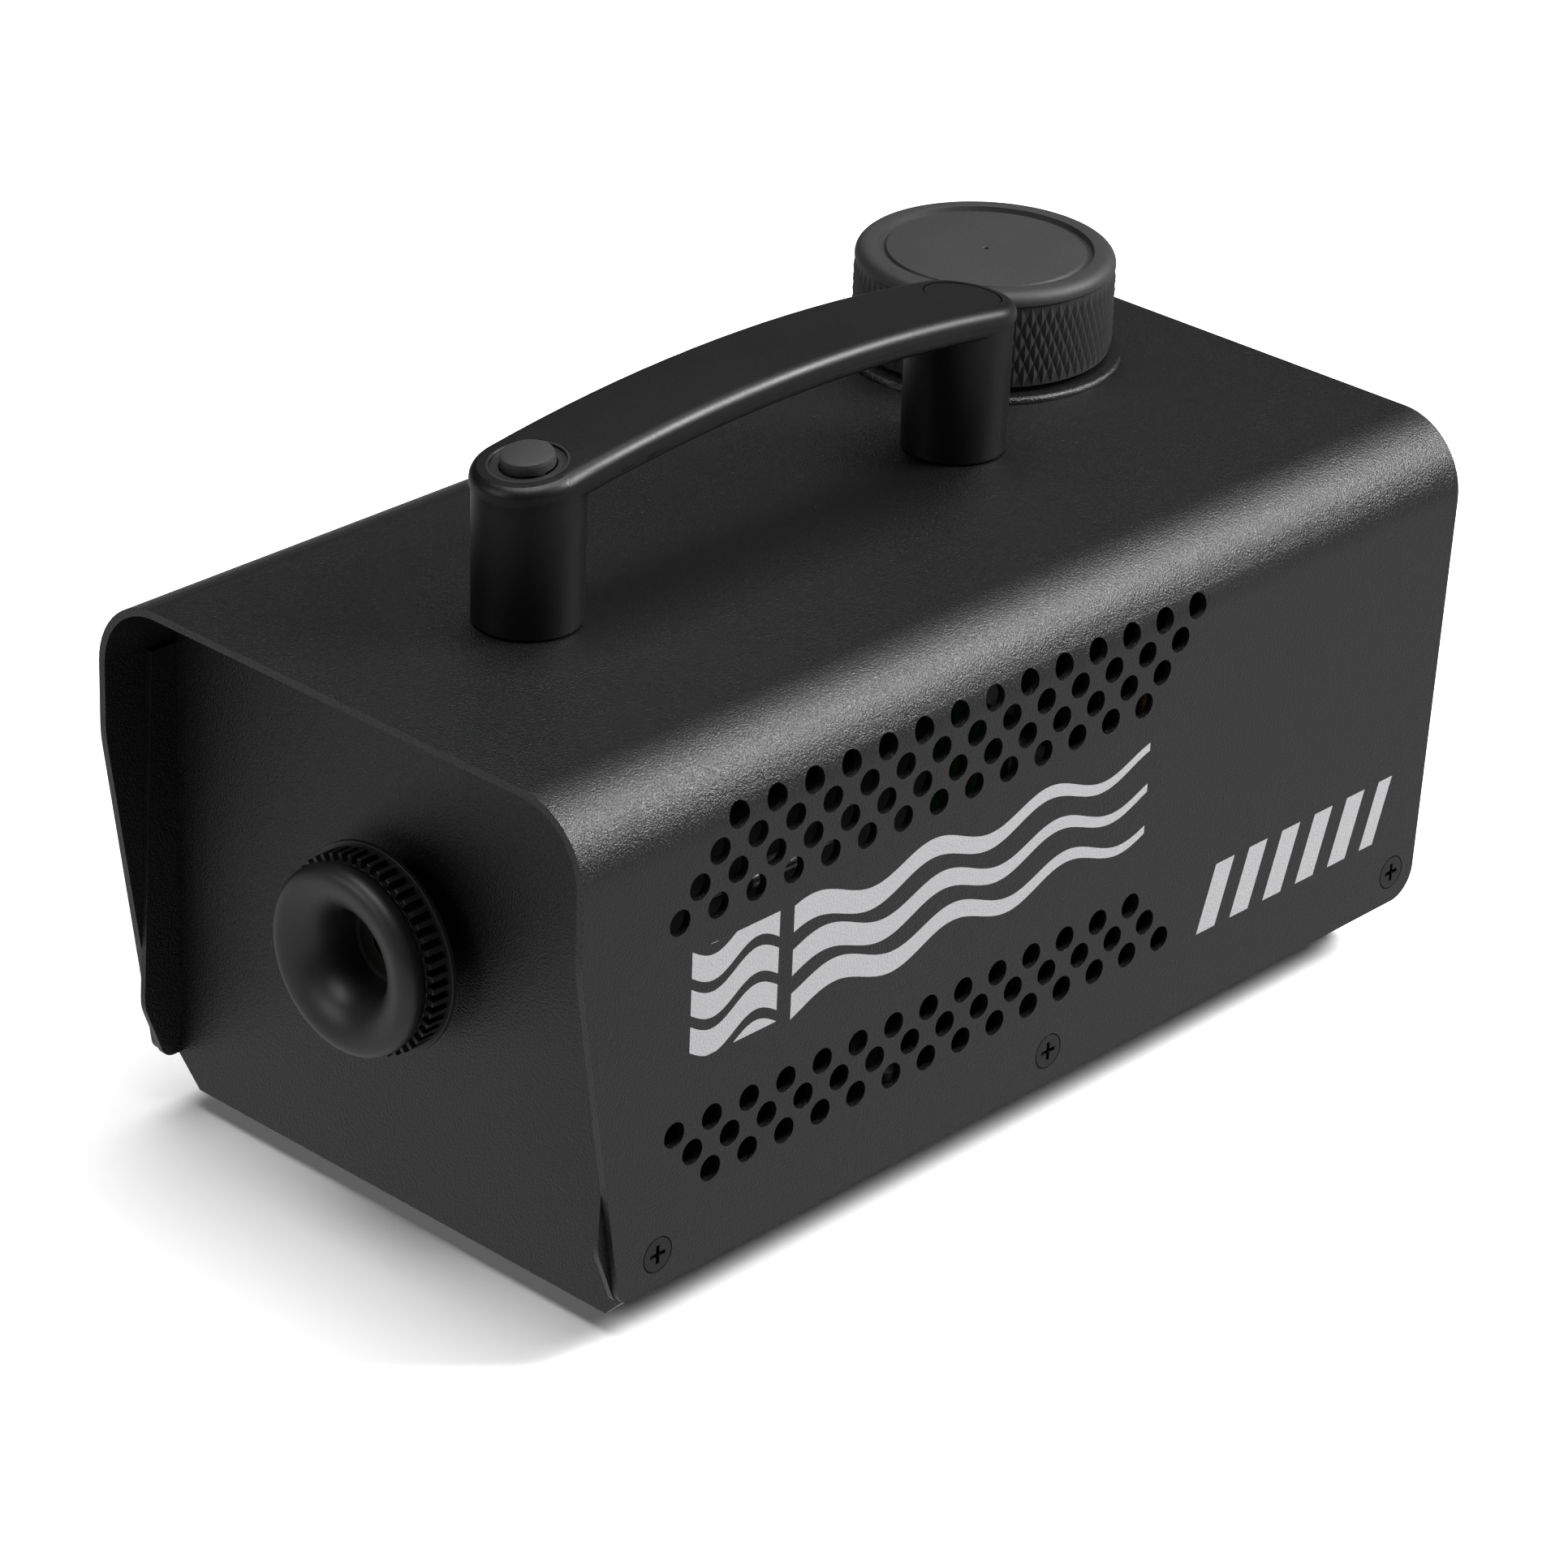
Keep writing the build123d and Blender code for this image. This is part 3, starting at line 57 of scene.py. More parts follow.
class Wire:
    # one socket of a finish, so that shader maths reads as plain sums
    def __init__(self, finish, socket):
        self.finish = finish
        self.socket = socket

    def maths(self, operation, *values):
        return self.finish.node("ShaderNodeMath", {"operation": operation}, dict(enumerate(values)))

    def __add__(self, other):
        return self.maths("ADD", self, other)

    def __radd__(self, other):
        return self.maths("ADD", other, self)

    def __sub__(self, other):
        return self.maths("SUBTRACT", self, other)

    def __rsub__(self, other):
        return self.maths("SUBTRACT", other, self)

    def __mul__(self, other):
        return self.maths("MULTIPLY", self, other)

    def __rmul__(self, other):
        return self.maths("MULTIPLY", other, self)

    def __truediv__(self, other):
        return self.maths("DIVIDE", self, other)

    def __lt__(self, other):
        return self.maths("LESS_THAN", self, other)

    def __gt__(self, other):
        return self.maths("GREATER_THAN", self, other)

    def __abs__(self):
        return self.maths("ABSOLUTE", self)

    def sine(self):
        return self.maths("SINE", self)

    def part(self):
        return self.maths("FRACT", self)

    def between(self, low, high):
        return (self > low) * (self < high)


class Finish:
    # one material, built up node by node
    def __init__(self, name):
        self.material = bpy.data.materials.new(name)
        self.material.use_nodes = True
        self.tree = self.material.node_tree
        self.tree.nodes.clear()
        self.place = self.node("ShaderNodeTexCoord", out="Object")

    def node(self, kind, settings=None, sockets=None, out=0):
        made = self.tree.nodes.new(kind)
        for key, value in (settings or {}).items():
            setattr(made, key, value)
        for key, value in (sockets or {}).items():
            if isinstance(value, Wire):
                self.tree.links.new(value.socket, made.inputs[key])
            else:
                made.inputs[key].default_value = value
        return Wire(self, made.outputs[out])

    def axes(self):
        # x, y and z of the surface, in millimetres
        scaled = self.node("ShaderNodeVectorMath", {"operation": "SCALE"}, {0: self.place, "Scale": 1 / mm})
        parts = self.tree.nodes.new("ShaderNodeSeparateXYZ")
        self.tree.links.new(scaled.socket, parts.inputs[0])
        return [Wire(self, parts.outputs[i]) for i in range(3)]

    def grain(self, size, detail=3.0, rough=0.55, stretch=(1, 1, 1)):
        # even noise whose lumps are about this many metres across
        at = self.node("ShaderNodeMapping", {}, {"Vector": self.place, "Scale": stretch})
        return self.node("ShaderNodeTexNoise", {},
                         {"Vector": at, "Scale": 1 / size, "Detail": detail, "Roughness": rough})

    def blend(self, share, first, second):
        # from the first colour to the second as share goes from 0 to 1
        return self.node("ShaderNodeMix", {"data_type": "RGBA"}, {0: share, 6: first, 7: second}, 2)

    def bump(self, height, depth):
        return self.node("ShaderNodeBump", {}, {"Height": height, "Distance": depth, "Strength": 1.0})

    def surface(self, values):
        shader = self.node("ShaderNodeBsdfPrincipled", {}, values)
        output = self.tree.nodes.new("ShaderNodeOutputMaterial")
        self.tree.links.new(shader.socket, output.inputs["Surface"])
        return self.material


def grey(value):
    return (value, value, value, 1)


powderCoat = {
    "tone": 0.0015, "fleck": 0.0045, "rough": 0.33, "gloss": 0.42,
    "orangePeel": 0.0004, "peelDepth": 0.00024,  # size and height of the lumps, in metres
}


def powderFinish(name, settings, addPrint=None):
    # satin black with a faint cool fleck, and the side's print over it where one is asked for
    finish = Finish(name)
    lumps = finish.grain(settings["orangePeel"], 2.0, 0.6)
    fine = finish.grain(settings["orangePeel"] * 0.45, 2.0, 0.5)
    cloud = finish.grain(0.05, 3.0)
    tone = settings["tone"]
    fleck = settings["fleck"]
    colour = finish.blend((lumps * 1.6 - 0.45) * 0.5 + (fine - 0.35) * 0.5,
                          (tone * 0.97, tone, tone * 1.05, 1), (fleck * 0.98, fleck, fleck * 1.04, 1))
    rough = settings["rough"] + (fine - 0.5) * 0.22 + (cloud - 0.5) * 0.05
    if addPrint is not None:
        mask = addPrint(finish)
        ink = sidePrint["ink"]
        colour = finish.blend(mask, colour, (ink, ink, ink * 1.02, 1))
        rough = rough + mask * 0.1
    normal = finish.bump(lumps * 0.7 + fine * 0.3, settings["peelDepth"])
    return finish.surface({"Base Color": colour, "Roughness": rough, "Normal": normal,
                           "Specular IOR Level": settings["gloss"]})


sidePrint = {
    # places are first y, last y, low z, high z in millimetres
    "ink": 0.235, "above": 57.6,  # grey of the print, and the x beyond which it lies
    "badge": (-88.9, -68.0, 52.2, 73.2), "badgeWave": 21.0, "badgeSwing": 2.2,
    "bandPitch": 7.0, "bandGap": 0.3,
    "plume": (-64.5, 27.5), "plumeMiddle": 62.0, "plumeStep": 7.2, "plumeSwing": 2.0, "plumeWave": 30.0,
    "plumeShift": 0.6, "plumeWidth": (5.0, 1.6),
    "slats": (45.0, 101.5, 26.5, 39.5), "slatStop": 4.5,
    "slatPitch": 9.6, "slatShare": 0.55, "slatLean": 0.34,
}


def printMask(finish):
    # a badge of drifting bands, a plume of three wavy lines and a block of leaning slats
    x, y, z = finish.axes()
    s = sidePrint
    left, right, low, high = s["badge"]
    swirl = ((y - left) * (2 * pi / s["badgeWave"])).sine() * s["badgeSwing"]
    bands = ((z - low + swirl) / s["bandPitch"]).part() > s["bandGap"]
    badge = y.between(left, right) * z.between(low, high) * bands
    start, end = s["plume"]
    along = (y - start) / (end - start)
    wide, thin = s["plumeWidth"]
    plume = None
    for line in (-1, 0, 1):
        middle = s["plumeMiddle"] + line * s["plumeStep"]
        wave = ((y - start) * (2 * pi / s["plumeWave"]) + line * s["plumeShift"]).sine() * s["plumeSwing"]
        half = (wide - along * (wide - thin)) * 0.5
        stripe = abs(z - middle - wave) < half
        plume = stripe if plume is None else plume + stripe
    plume = plume * y.between(start, end)
    left, right, low, high = s["slats"]
    leaning = y - (z - low) * s["slatLean"]
    slats = ((leaning - left) / s["slatPitch"]).part() < s["slatShare"]
    slats = slats * leaning.between(left, right - s["slatStop"]) * z.between(low, high)
    return (badge + plume + slats) * (x > s["above"])


plastics = {
    # grain and depth are the size and height of the skin's texture, in metres
    "handleBlack": {"tone": 0.001, "rough": 0.44, "grain": 0.0006, "depth": 0.00002, "gloss": 0.33},
    "triggerBlack": {"tone": 0.02, "rough": 0.6, "grain": 0.0006, "depth": 0.00004, "gloss": 0.25},
    "capBlack": {"tone": 0.014, "rough": 0.6, "grain": 0.0008, "depth": 0.00004, "gloss": 0.35},
    "bushBlack": {"tone": 0.01, "rough": 0.55, "grain": 0.0004, "depth": 0.00002},
    "inletBlack": {"tone": 0.009, "rough": 0.34, "grain": 0.0004, "depth": 0.000016},
    "rockerBlack": {"tone": 0.012, "rough": 0.2, "grain": 0.0008, "depth": 0.000008, "coat": 0.1},
    "footRubber": {"tone": 0.012, "rough": 0.72, "grain": 0.0005, "depth": 0.00004},
    "coilBlack": {"tone": 0.02, "rough": 0.5, "grain": 0.0006, "depth": 0.00002},
    "cushionGrey": {"tone": 0.05, "rough": 0.95, "grain": 0.0007, "depth": 0.0003},
}


def plasticFinish(name):
    # moulded skin with faint marks of handling
    settings = plastics[name]
    finish = Finish(name)
    skin = finish.grain(settings["grain"], 3.0, 0.6)
    handling = finish.grain(0.018, 4.0, 0.6)
    tone = settings["tone"]
    colour = finish.blend(skin * 0.5 + handling * 0.5, grey(tone * 0.8), grey(tone * 1.3))
    rough = settings["rough"] + (skin - 0.5) * 0.12 + (handling - 0.5) * 0.1
    return finish.surface({"Base Color": colour, "Roughness": rough,
                           "Normal": finish.bump(skin, settings["depth"]),
                           "Coat Weight": settings.get("coat", 0.0),
                           "Specular IOR Level": settings.get("gloss", 0.45)})


metals = {
    "blackAnodised": {"tone": (0.008, 0.008, 0.0083), "rough": 0.46, "metal": 0.0, "lines": (1, 1, 1)},
    "blackZinc": {"tone": (0.03, 0.03, 0.032), "rough": 0.36, "metal": 0.9, "lines": (1, 1, 1)},
    "brightZinc": {"tone": (0.6, 0.6, 0.58), "rough": 0.3, "metal": 1.0, "lines": (1, 1, 1)},
    "bentSteel": {"tone": (0.56, 0.56, 0.54), "rough": 0.36, "metal": 1.0, "lines": (1, 1, 14)},
    "groundSteel": {"tone": (0.5, 0.5, 0.51), "rough": 0.22, "metal": 1.0, "lines": (1, 1, 20)},
    # the nozzle stem is near black: painted shade deep in the throat, in place of a brass colour
    "stemPaintedShade": {"tone": (0.03, 0.028, 0.026), "rough": 0.5, "metal": 1.0, "lines": (8, 1, 8)},
    "pumpBrass": {"tone": (0.66, 0.48, 0.2), "rough": 0.28, "metal": 1.0, "lines": (1, 1, 10)},
    "pipeCopper": {"tone": (0.68, 0.35, 0.2), "rough": 0.3, "metal": 1.0, "lines": (1, 1, 1)},
    "castHeater": {"tone": (0.5, 0.5, 0.5), "rough": 0.55, "metal": 1.0, "lines": (1, 1, 1)},
    # the heater shroud is near black: painted shade, so the inside seen through the vents stays dark
    "shroudPaintedShade": {"tone": (0.012, 0.012, 0.012), "rough": 0.55, "metal": 0.0, "lines": (1, 12, 1)},
    "pinNickel": {"tone": (0.66, 0.64, 0.6), "rough": 0.2, "metal": 1.0, "lines": (1, 8, 1)},
}


def metalFinish(name):
    # "lines" stretches the grain into a rolling, drawing or turning direction
    settings = metals[name]
    finish = Finish(name)
    lines = finish.grain(0.0009, 4.0, 0.65, settings["lines"])
    stain = finish.grain(0.012, 4.0)
    red, green, blue = settings["tone"]
    colour = finish.blend(stain * 0.6 + lines * 0.4, (red * 0.78, green * 0.78, blue * 0.78, 1),
                          (min(red * 1.15, 1), min(green * 1.15, 1), min(blue * 1.15, 1), 1))
    rough = settings["rough"] + (lines - 0.5) * 0.2 + (stain - 0.5) * 0.1
    return finish.surface({"Base Color": colour, "Roughness": rough, "Metallic": settings["metal"],
                           "Normal": finish.bump(lines, 0.00001)})


tankMilk = {"light": (0.78, 0.78, 0.74, 1), "shade": (0.62, 0.62, 0.57, 1), "rough": 0.4}


def tankFinish():
    finish = Finish("tankMilky")
    cloud = finish.grain(0.02, 4.0)
    skin = finish.grain(0.001, 3.0)
    colour = finish.blend(cloud, tankMilk["shade"], tankMilk["light"])
    return finish.surface({"Base Color": colour, "Roughness": tankMilk["rough"] + (skin - 0.5) * 0.2,
                           "Normal": finish.bump(skin, 0.00003), "Subsurface Weight": 0.2,
                           "Subsurface Radius": (0.004, 0.004, 0.003)})


softs = {
    "linerFoam": {"low": (0.5, 0.5, 0.48, 1), "high": (0.72, 0.72, 0.7, 1), "size": 0.0006, "depth": 0.0002},
    "mineralWool": {"low": (0.5, 0.46, 0.36, 1), "high": (0.82, 0.79, 0.68, 1),
                    "size": 0.0012, "depth": 0.0006},
    "hoseClear": {"low": (0.6, 0.59, 0.55, 1), "high": (0.8, 0.8, 0.76, 1), "size": 0.003, "depth": 0.00003},
    "boardPieces": {"low": (0.02, 0.025, 0.03, 1), "high": (0.05, 0.09, 0.14, 1),
                    "size": 0.02, "depth": 0.00002},
}


def softFinish(name):
    settings = softs[name]
    finish = Finish(name)
    tufts = finish.grain(settings["size"], 5.0, 0.7)
    colour = finish.blend(tufts, settings["low"], settings["high"])
    return finish.surface({"Base Color": colour, "Roughness": 0.62 + tufts * 0.3,
                           "Normal": finish.bump(tufts, settings["depth"])})


def boardFinish():
    # green mask over copper tracks
    finish = Finish("boardGreen")
    x, y, z = finish.axes()
    tracks = ((x / 5.0).part() < 0.28) * ((z / 11.0).part() > 0.2)
    crossings = ((z / 7.0).part() < 0.2) * ((x / 17.0).part() > 0.35)
    copper = tracks + crossings - tracks * crossings
    colour = finish.blend(copper, (0.006, 0.055, 0.02, 1), (0.012, 0.11, 0.04, 1))
    return finish.surface({"Base Color": colour, "Roughness": 0.3 + copper * 0.12,
                           "Normal": finish.bump(copper, 0.00003)})


def glassFinish(name, colour, clear):
    finish = Finish(name)
    streak = finish.grain(0.004, 3.0)
    tint = finish.blend(streak, colour, (colour[0] * 0.8, colour[1] * 0.8, colour[2] * 0.8, 1))
    return finish.surface({"Base Color": tint, "Roughness": 0.08 + streak * 0.08, "Alpha": clear,
                           "Coat Weight": 0.3})


def lampFinish():
    # a clear red lens with fine ribs inside
    finish = Finish("lampRed")
    x, y, z = finish.axes()
    ribs = (x * 6.0).sine() * (z * 6.0).sine()
    colour = finish.blend(ribs * 0.5 + 0.5, (0.16, 0.006, 0.004, 1), (0.42, 0.02, 0.012, 1))
    return finish.surface({"Base Color": colour, "Roughness": 0.16 + ribs * 0.05,
                           "Normal": finish.bump(ribs, 0.00004), "Coat Weight": 0.4})


coverPaint = powderFinish("coverPowderCoat", powderCoat, printMask)
trayPaint = powderFinish("trayPowderCoat", powderCoat)
finishes = {
    "cover_paint": coverPaint, "chassis_paint": trayPaint, "handle_plastic": plasticFinish("handleBlack"),
    "trigger_plastic": plasticFinish("triggerBlack"), "black_metal": metalFinish("blackAnodised"),
    "stem_metal": metalFinish("stemPaintedShade"), "bush_plastic": plasticFinish("bushBlack"),
    "black_screw": metalFinish("blackZinc"), "zinc_screw": metalFinish("brightZinc"),
    "foot_rubber": plasticFinish("footRubber"), "tank_plastic": tankFinish(),
    "cap_plastic": plasticFinish("capBlack"), "liner_foam": softFinish("linerFoam"),
    "cushion_foam": plasticFinish("cushionGrey"),
    "bent_steel": metalFinish("bentSteel"), "coil_plastic": plasticFinish("coilBlack"),
    "pump_brass": metalFinish("pumpBrass"), "piston_steel": metalFinish("groundSteel"),
    "hose_silicone": softFinish("hoseClear"), "pipe_copper": metalFinish("pipeCopper"),
    "heater_cast": metalFinish("castHeater"), "wool": softFinish("mineralWool"),
    "shroud_sheet": metalFinish("shroudPaintedShade"), "board_laminate": boardFinish(),
    "board_component": softFinish("boardPieces"), "inlet_plastic": plasticFinish("inletBlack"),
    "pin_metal": metalFinish("pinNickel"), "fuse_glass": glassFinish("fuseGlass", (0.8, 0.84, 0.84, 1), 0.45),
    "rocker_plastic": plasticFinish("rockerBlack"), "lamp_lens": lampFinish(),
}
finishes["pump_plastic"] = finishes["coil_plastic"]
finishes["spring_steel"] = finishes["piston_steel"]
finishes["thermostat_case"] = finishes["coil_plastic"]
finishes["fuse_case"] = finishes["zinc_screw"]
finishes["drawer_plastic"] = finishes["inlet_plastic"]
finishes["switch_plastic"] = finishes["inlet_plastic"]
print("finishes made")

slotOf = {entry["node"]: entry["material_slot"] for entry in frame["record"]["subparts"]}
bodyOf = {node: body for body, nodes in frame["record"]["behaviour"]["bodies"].items() for node in nodes}
for node, carried in frame["nodes"].items():
    carried.data.materials.clear()
    carried.data.materials.append(finishes[slotOf[node]])


def place(name, sheet, node, softAngle=35.0, edge=0.0, steps=2, edgeAngle=30.0):
    # turns a bmesh into a finished piece that stands for a CAD node and rides on its body
    if edge:
        weights = sheet.edges.layers.float.new("bevel_weight_edge")
        for e in sheet.edges:  # only outer corners are rounded
            if e.is_manifold and e.calc_face_angle_signed() > radians(edgeAngle):
                e[weights] = 1.0
    mesh = bpy.data.meshes.new(name)
    sheet.to_mesh(mesh)
    sheet.free()
    stored = mesh.attributes.get("custom_normal")
    if stored is not None:
        mesh.attributes.remove(stored)
    for face in mesh.polygons:
        face.use_smooth = True
    mesh.set_sharp_from_angle(angle=radians(softAngle))
    piece = bpy.data.objects.new(name, mesh)
    bpy.context.scene.collection.objects.link(piece)
    mesh.materials.clear()
    mesh.materials.append(finishes[slotOf[node]])
    if edge:
        rounding = piece.modifiers.new("edges", "BEVEL")
        rounding.width = edge
        rounding.segments = steps
        rounding.limit_method = "WEIGHT"
        rounding.harden_normals = True
    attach(piece, bodyOf[node])
    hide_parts(node)
    return piece


def copyOf(node):
    # a merged copy of a CAD node's mesh
    sheet = bmesh.new()
    sheet.from_mesh(frame["nodes"][node].data)
    bmesh.ops.remove_doubles(sheet, verts=sheet.verts, dist=1e-6)
    bmesh.ops.dissolve_degenerate(sheet, edges=sheet.edges, dist=1e-6)
    return sheet


softened = {
    # piece: node, soft angle, edge rounding
    "coverShell": ("top_cover", 32.0, 0.00022),
    "chassisTray": ("chassis", 32.0, 0.00018),
    "rearPanel": ("rear_panel", 32.0, 0.00018),
    "gripShell": ("handle_shell", 40.0, 0.0),
    "gripBase": ("handle_base", 40.0, 0.0),
    "gripPlug": ("handle_plug", 30.0, 0.00025),
    "triggerBezel": ("trigger_bezel", 30.0, 0.0001),
    "triggerButton": ("trigger_button", 40.0, 0.0),
    "coverScrews": ("cover_screws", 30.0, 0.00012),
    "inletScrews": ("inlet_screws", 30.0, 0.0001),
    "mainsInlet": ("mains_inlet", 30.0, 0.0003),
    "inletPins": ("inlet_pins", 30.0, 0.0003),
    "fuseDrawer": ("fuse_drawer", 30.0, 0.0002),
    "switchFrame": ("power_switch", 30.0, 0.0003),
    "rockerKey": ("rocker", 30.0, 0.0005),
    "readyLamp": ("ready_lamp", 40.0, 0.0),
    "feetRings": ("rubber_feet", 30.0, 0.0004),
}
for name, (node, softAngle, edge) in softened.items():
    place(name, copyOf(node), node, softAngle, edge)
print("sheet metal, handle and rear fittings softened")


def makeSpring():
    # the coil that stands on the pump's seat, as a softened copy with a mesh of its own
    spring = place("pumpCoil", copyOf("pump_spring"), "pump_spring", 60.0)
    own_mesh(spring)


def profileRing(sheet, points, centre, axis, steps):
    # spins an open chain of (radius, height) points about an axis and closes the seam
    across = Vector((1, 0, 0))
    chain = [sheet.verts.new(centre + across * r + axis * h) for r, h in points]
    edges = [sheet.edges.new(pair) for pair in zip(chain, chain[1:])]
    bmesh.ops.spin(sheet, geom=chain + edges, cent=centre, axis=axis, angle=2 * pi, steps=steps,
                   use_merge=True, use_duplicate=False)
    bmesh.ops.remove_doubles(sheet, verts=sheet.verts, dist=1e-7)


capShape = {
    "knurls": 78, "rows": 7, "knurlTop": 15.6, "knurlDepth": 0.42, "wall": 24.18, "band": 0.3,  # grip
    "edgeRound": 2.2, "rim": 20.2, "disc": 18.6, "dish": 1.0, "faceDrop": 0.45,  # top
    "faceRing": 9.0, "pip": 0.55, "pipDepth": 0.5,
    "hollow": 21.2, "ceiling": 14.6, "mouth": 22.2,  # inside
}


def makeCap():
    s = capShape
    low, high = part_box("tank_cap")
    middle = (low + high) / 2
    centre = Vector((middle.x, middle.y, low.z))
    up = Vector((0, 0, 1))
    rise = (high.z - low.z) / mm
    steps = 2 * s["knurls"]
    wall = s["wall"]
    rowsAt = [(wall, s["knurlTop"] * i / s["rows"]) for i in range(s["rows"] + 1)]
    quarter = [radians(90 * i / 8) for i in range(9)]
    rounded = [(wall + s["band"] - s["edgeRound"] * (1 - cos(a)), rise - s["edgeRound"] * (1 - sin(a)))
               for a in quarter]
    shoulder = [(wall + 0.1, s["knurlTop"] + 0.15), (wall + s["band"], s["knurlTop"] + 0.35)]
    groove = rise - s["dish"]
    face = rise - s["dish"] * s["faceDrop"]
    pit = face - s["pipDepth"]
    top = [(s["rim"] + 0.5, rise), (s["rim"] + 0.1, rise - 0.08), (s["rim"] - 0.25, groove),
           (s["disc"] + 0.3, groove), (s["disc"], face - 0.06), (s["disc"] - 0.3, face),
           (s["faceRing"], face), (s["pip"] + 0.1, face), (s["pip"], face - 0.1), (s["pip"] - 0.1, pit),
           (0.0, pit)]
    inside = [(0.0, s["ceiling"]), (s["hollow"], s["ceiling"]), (s["hollow"], 0.8), (s["hollow"] + 0.4, 0.25),
              (s["mouth"], 0.0), (wall - 0.4, 0.0), (wall, 0.0)]
    points = inside + rowsAt[1:] + shoulder + rounded + top
    sheet = bmesh.new()
    profileRing(sheet, [(r * mm, h * mm) for r, h in points], centre, up, steps)
    # every other point of the wall's net is pushed out, and its neighbours are joined round it
    peaks = []
    valleys = []
    for v in sheet.verts:
        flat = v.co - centre
        height = flat.z / mm
        radius = Vector((flat.x, flat.y)).length / mm
        if abs(radius - wall) > 0.01 or height > s["knurlTop"] + 0.01:
            continue
        row = round(height / (s["knurlTop"] / s["rows"]))
        column = round(Vector((1, 0)).angle_signed(Vector((flat.x, flat.y)), 0) / (2 * pi / steps))
        if 0 < row < s["rows"] and (row + column) % 2 == 0:
            peaks.append(v)
        else:
            valleys.append(v)
    bmesh.ops.connect_verts(sheet, verts=valleys)
    swell = (wall + s["knurlDepth"]) / wall
    bmesh.ops.scale(sheet, verts=peaks, vec=(swell, swell, 1), space=Matrix.Translation(-centre))
    bmesh.ops.recalc_face_normals(sheet, faces=sheet.faces)
    return place("knurledCap", sheet, "tank_cap", 22.0)


nozzleShape = {
    "radius": 17.4, "lipRoll": 2.6, "throat": 7.4, "flareCurve": 2.5, "flareDepth": 1.5, "flareSteps": 24,
    "skirt": 12.0, "shoulder": 1.3, "bore": 6.4, "backWall": 1.2, "steps": 128,
}


def makeBell():
    s = nozzleShape
    low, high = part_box("nozzle_bell")
    middle = (low + high) / 2
    centre = Vector((middle.x, low.y, middle.z))
    back = Vector((0, 1, 0))
    depth = (high.y - low.y) / mm
    shoulderAt = (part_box("nozzle_ring")[0].y - low.y) / mm
    crest = s["radius"] - s["lipRoll"]
    throatAt = depth - s["backWall"]
    flare = []
    for i in range(1, s["flareSteps"] + 1):
        t = i / s["flareSteps"]
        radius = s["throat"] + (crest - s["throat"]) * (1 - t) ** s["flareCurve"]
        flare.append((radius, throatAt * t ** s["flareDepth"]))
    quarter = [radians(90 * i / 8) for i in range(9)]
    roll = [(crest + s["lipRoll"] * sin(a), s["lipRoll"] * (1 - cos(a))) for a in quarter]
    waist = s["radius"] - s["shoulder"]
    side = [(s["radius"] - 0.3, s["lipRoll"] + 1.2), (waist + 0.25, shoulderAt - 0.3),
            (waist - 0.1, shoulderAt), (s["skirt"], shoulderAt), (s["skirt"], depth),
            (s["bore"], depth), (s["bore"], throatAt)]
    points = flare[::-1] + roll + side + [flare[-1]]
    sheet = bmesh.new()
    profileRing(sheet, [(r * mm, h * mm) for r, h in points], centre, back, s["steps"])
    bmesh.ops.recalc_face_normals(sheet, faces=sheet.faces)
    return place("nozzleBell", sheet, "nozzle_bell", 40.0)


makeSpring()
makeCap()
makeBell()
place("toothedRing", copyOf("nozzle_ring"), "nozzle_ring", 30.0, 0.00012)
print("spring, cap and nozzle made")


studio = {
    "floorSize": 12.0, "floorTone": 0.93, "sun": 3.85, "sunSoftness": 50.0,
    "above": 0.015, "below": 0.68, "horizon": (-0.25, 0.05),  # the air's light over and under the horizon
}


def makeFloor():
    sheet = bmesh.new()
    bmesh.ops.create_grid(sheet, x_segments=2, y_segments=2, size=studio["floorSize"] / 2)
    mesh = bpy.data.meshes.new("paperFloor")
    sheet.to_mesh(mesh)
    sheet.free()
    floor = bpy.data.objects.new("paperFloor", mesh)
    bpy.context.scene.collection.objects.link(floor)
    paper = Finish("paperWhite")
    fibres = paper.grain(0.004, 3.0)
    tone = studio["floorTone"]
    colour = paper.blend(fibres, grey(tone * 0.995), grey(tone * 1.005))
    mesh.materials.append(paper.surface({"Base Color": colour, "Roughness": 0.85 + fibres * 0.05,
                                         "Specular IOR Level": 0.1}))
    floor.visible_glossy = False  # the pale floor is not mirrored in the black coat


softBoxes = {
    # name: place, aimed at, width, height, watts
    "bendBox": ((0.676, 0.763, 0.93), (0.05, -0.05, 0.1), 0.5, 0.45, 38.0),
    "frontBox": ((-0.5, -1.3, 0.75), (0.0, -0.05, 0.05), 0.7, 0.5, 5.0),
    "backBox": ((-0.9, 0.7, 0.62), (-0.05, -0.05, 0.1), 0.9, 0.8, 0.25),
}


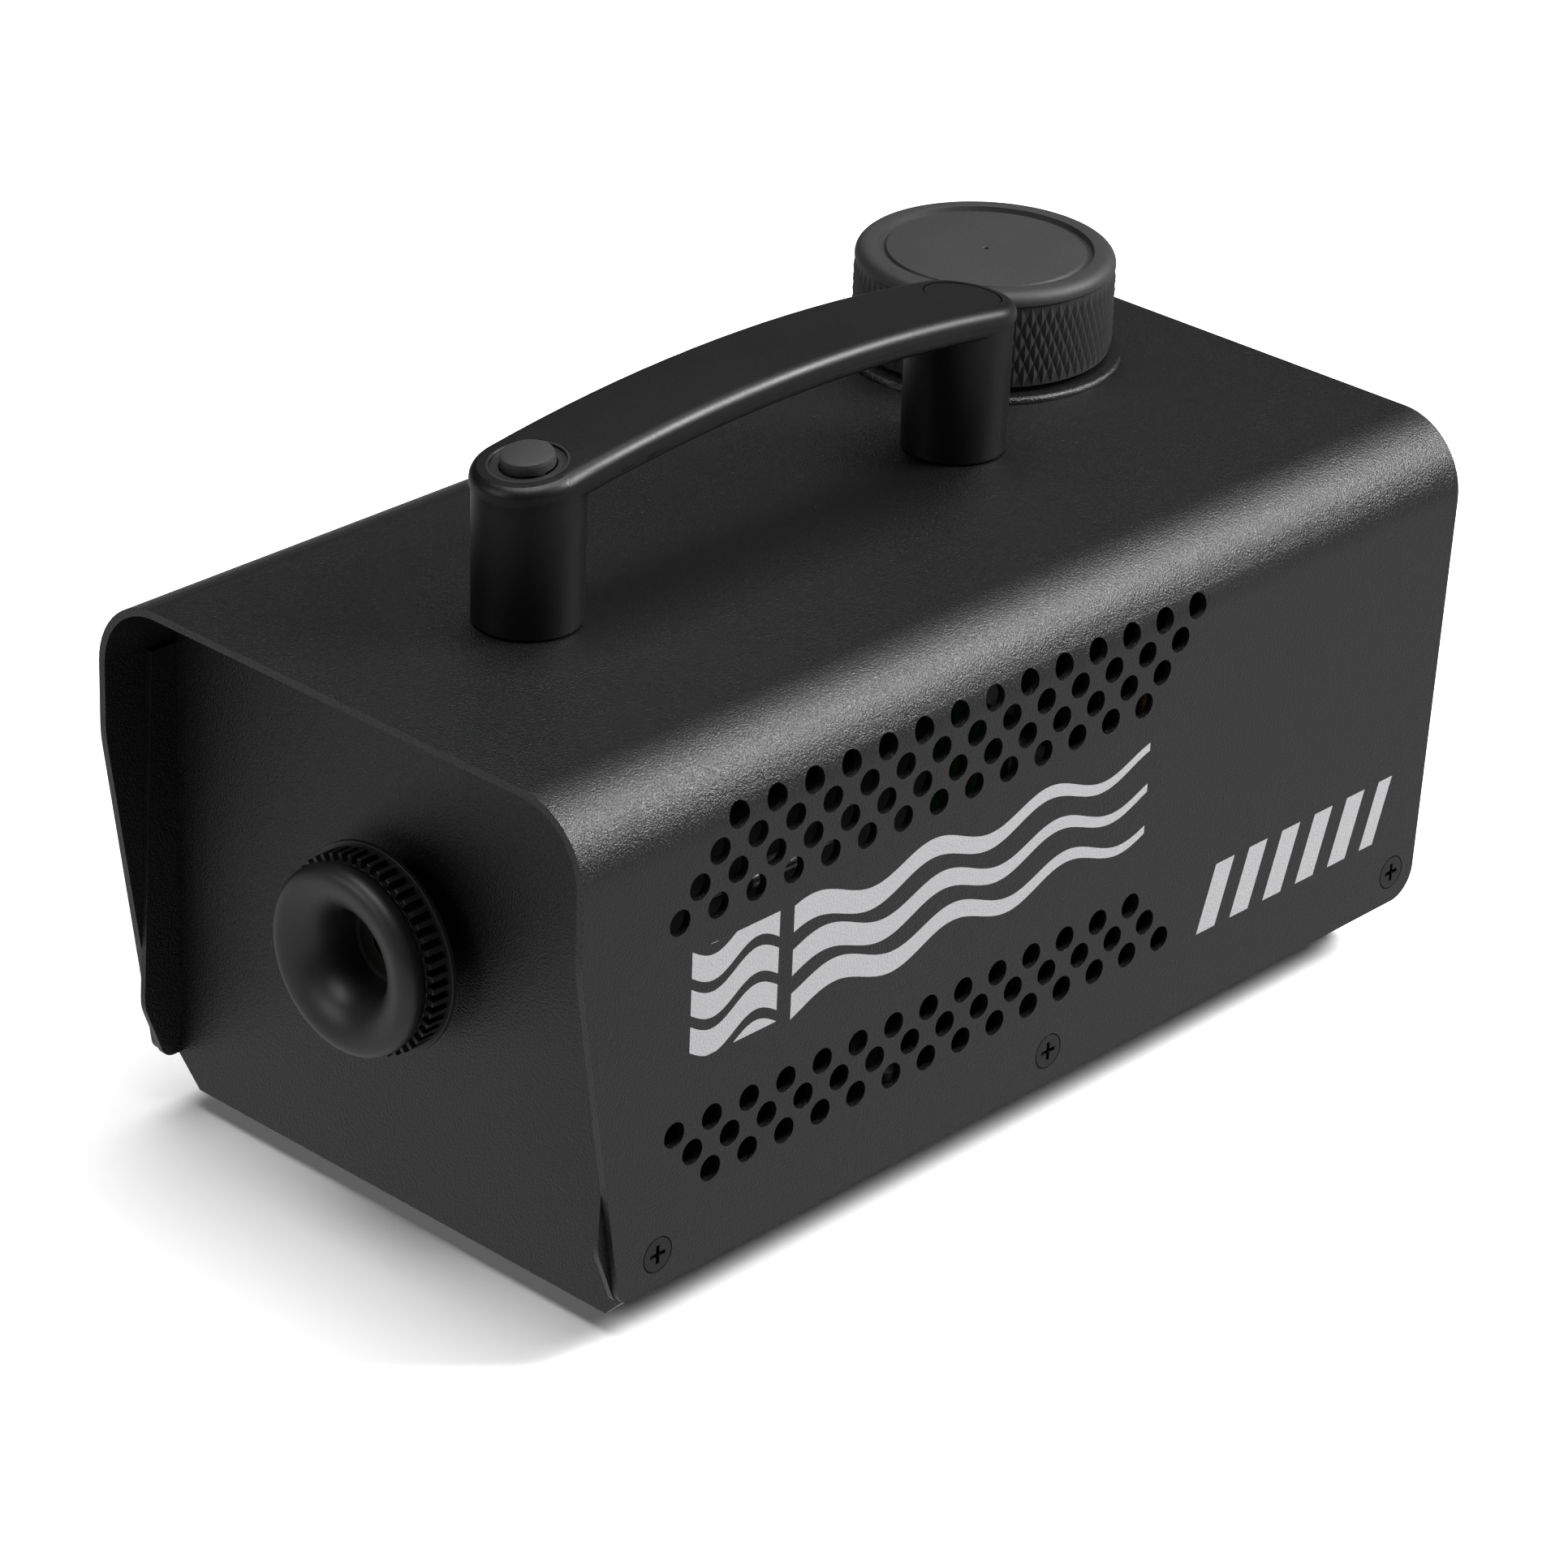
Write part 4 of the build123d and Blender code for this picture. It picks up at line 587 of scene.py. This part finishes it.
def makeLights():
    world = bpy.data.worlds.new("studioAir")
    world.use_nodes = True
    air = world.node_tree
    air.nodes["Background"].inputs["Color"].default_value = (1, 1, 1, 1)
    aim = air.nodes.new("ShaderNodeTexCoord")
    split = air.nodes.new("ShaderNodeSeparateXYZ")
    level = air.nodes.new("ShaderNodeMapRange")  # bright below the horizon, nearly dark above it
    level.inputs["From Min"].default_value, level.inputs["From Max"].default_value = studio["horizon"]
    level.inputs["To Min"].default_value = studio["below"]
    level.inputs["To Max"].default_value = studio["above"]
    air.links.new(aim.outputs["Generated"], split.inputs[0])
    air.links.new(split.outputs["Z"], level.inputs["Value"])
    air.links.new(level.outputs["Result"], air.nodes["Background"].inputs["Strength"])
    bpy.context.scene.world = world
    lamp = bpy.data.lights.new("ceiling", "SUN")
    lamp.energy = studio["sun"]
    lamp.angle = radians(studio["sunSoftness"])
    ceiling = bpy.data.objects.new("ceiling", lamp)
    bpy.context.scene.collection.objects.link(ceiling)
    for name, (spot, target, width, height, watts) in softBoxes.items():
        light = bpy.data.lights.new(name, "AREA")
        light.shape = "RECTANGLE"
        light.size = width
        light.size_y = height
        light.energy = watts
        held = bpy.data.objects.new(name, light)
        held.location = spot
        held.rotation_euler = (Vector(target) - Vector(spot)).to_track_quat("-Z", "Y").to_euler()
        bpy.context.scene.collection.objects.link(held)


cameraView = {
    # place in metres, angles in degrees, lens in millimetres
    "spot": (0.61408, -0.68237, 0.52069), "turn": 42.143, "tip": 27.102, "roll": 2.342, "lens": 130.68,
}


def makeCamera():
    s = cameraView
    turn, tip, roll = radians(s["turn"]), radians(s["tip"]), radians(s["roll"])
    ahead = Vector((-sin(turn) * cos(tip), cos(turn) * cos(tip), -sin(tip)))
    level = Vector((cos(turn), sin(turn), 0))
    upright = level.cross(ahead)
    right = cos(roll) * level + sin(roll) * upright
    up = right.cross(ahead)
    lens = bpy.data.cameras.new("productView")
    lens.lens = s["lens"]
    lens.sensor_width = 36
    lens.clip_start = 0.01  # metres
    lens.clip_end = 50
    viewer = bpy.data.objects.new("productView", lens)
    turned = Matrix((right, up, -ahead)).transposed().to_4x4()
    viewer.matrix_world = Matrix.Translation(s["spot"]) @ turned
    bpy.context.scene.collection.objects.link(viewer)
    bpy.context.scene.camera = viewer


makeFloor()
makeLights()
makeCamera()
bpy.context.scene.view_settings.view_transform = "Standard"
print("floor, light and camera set")
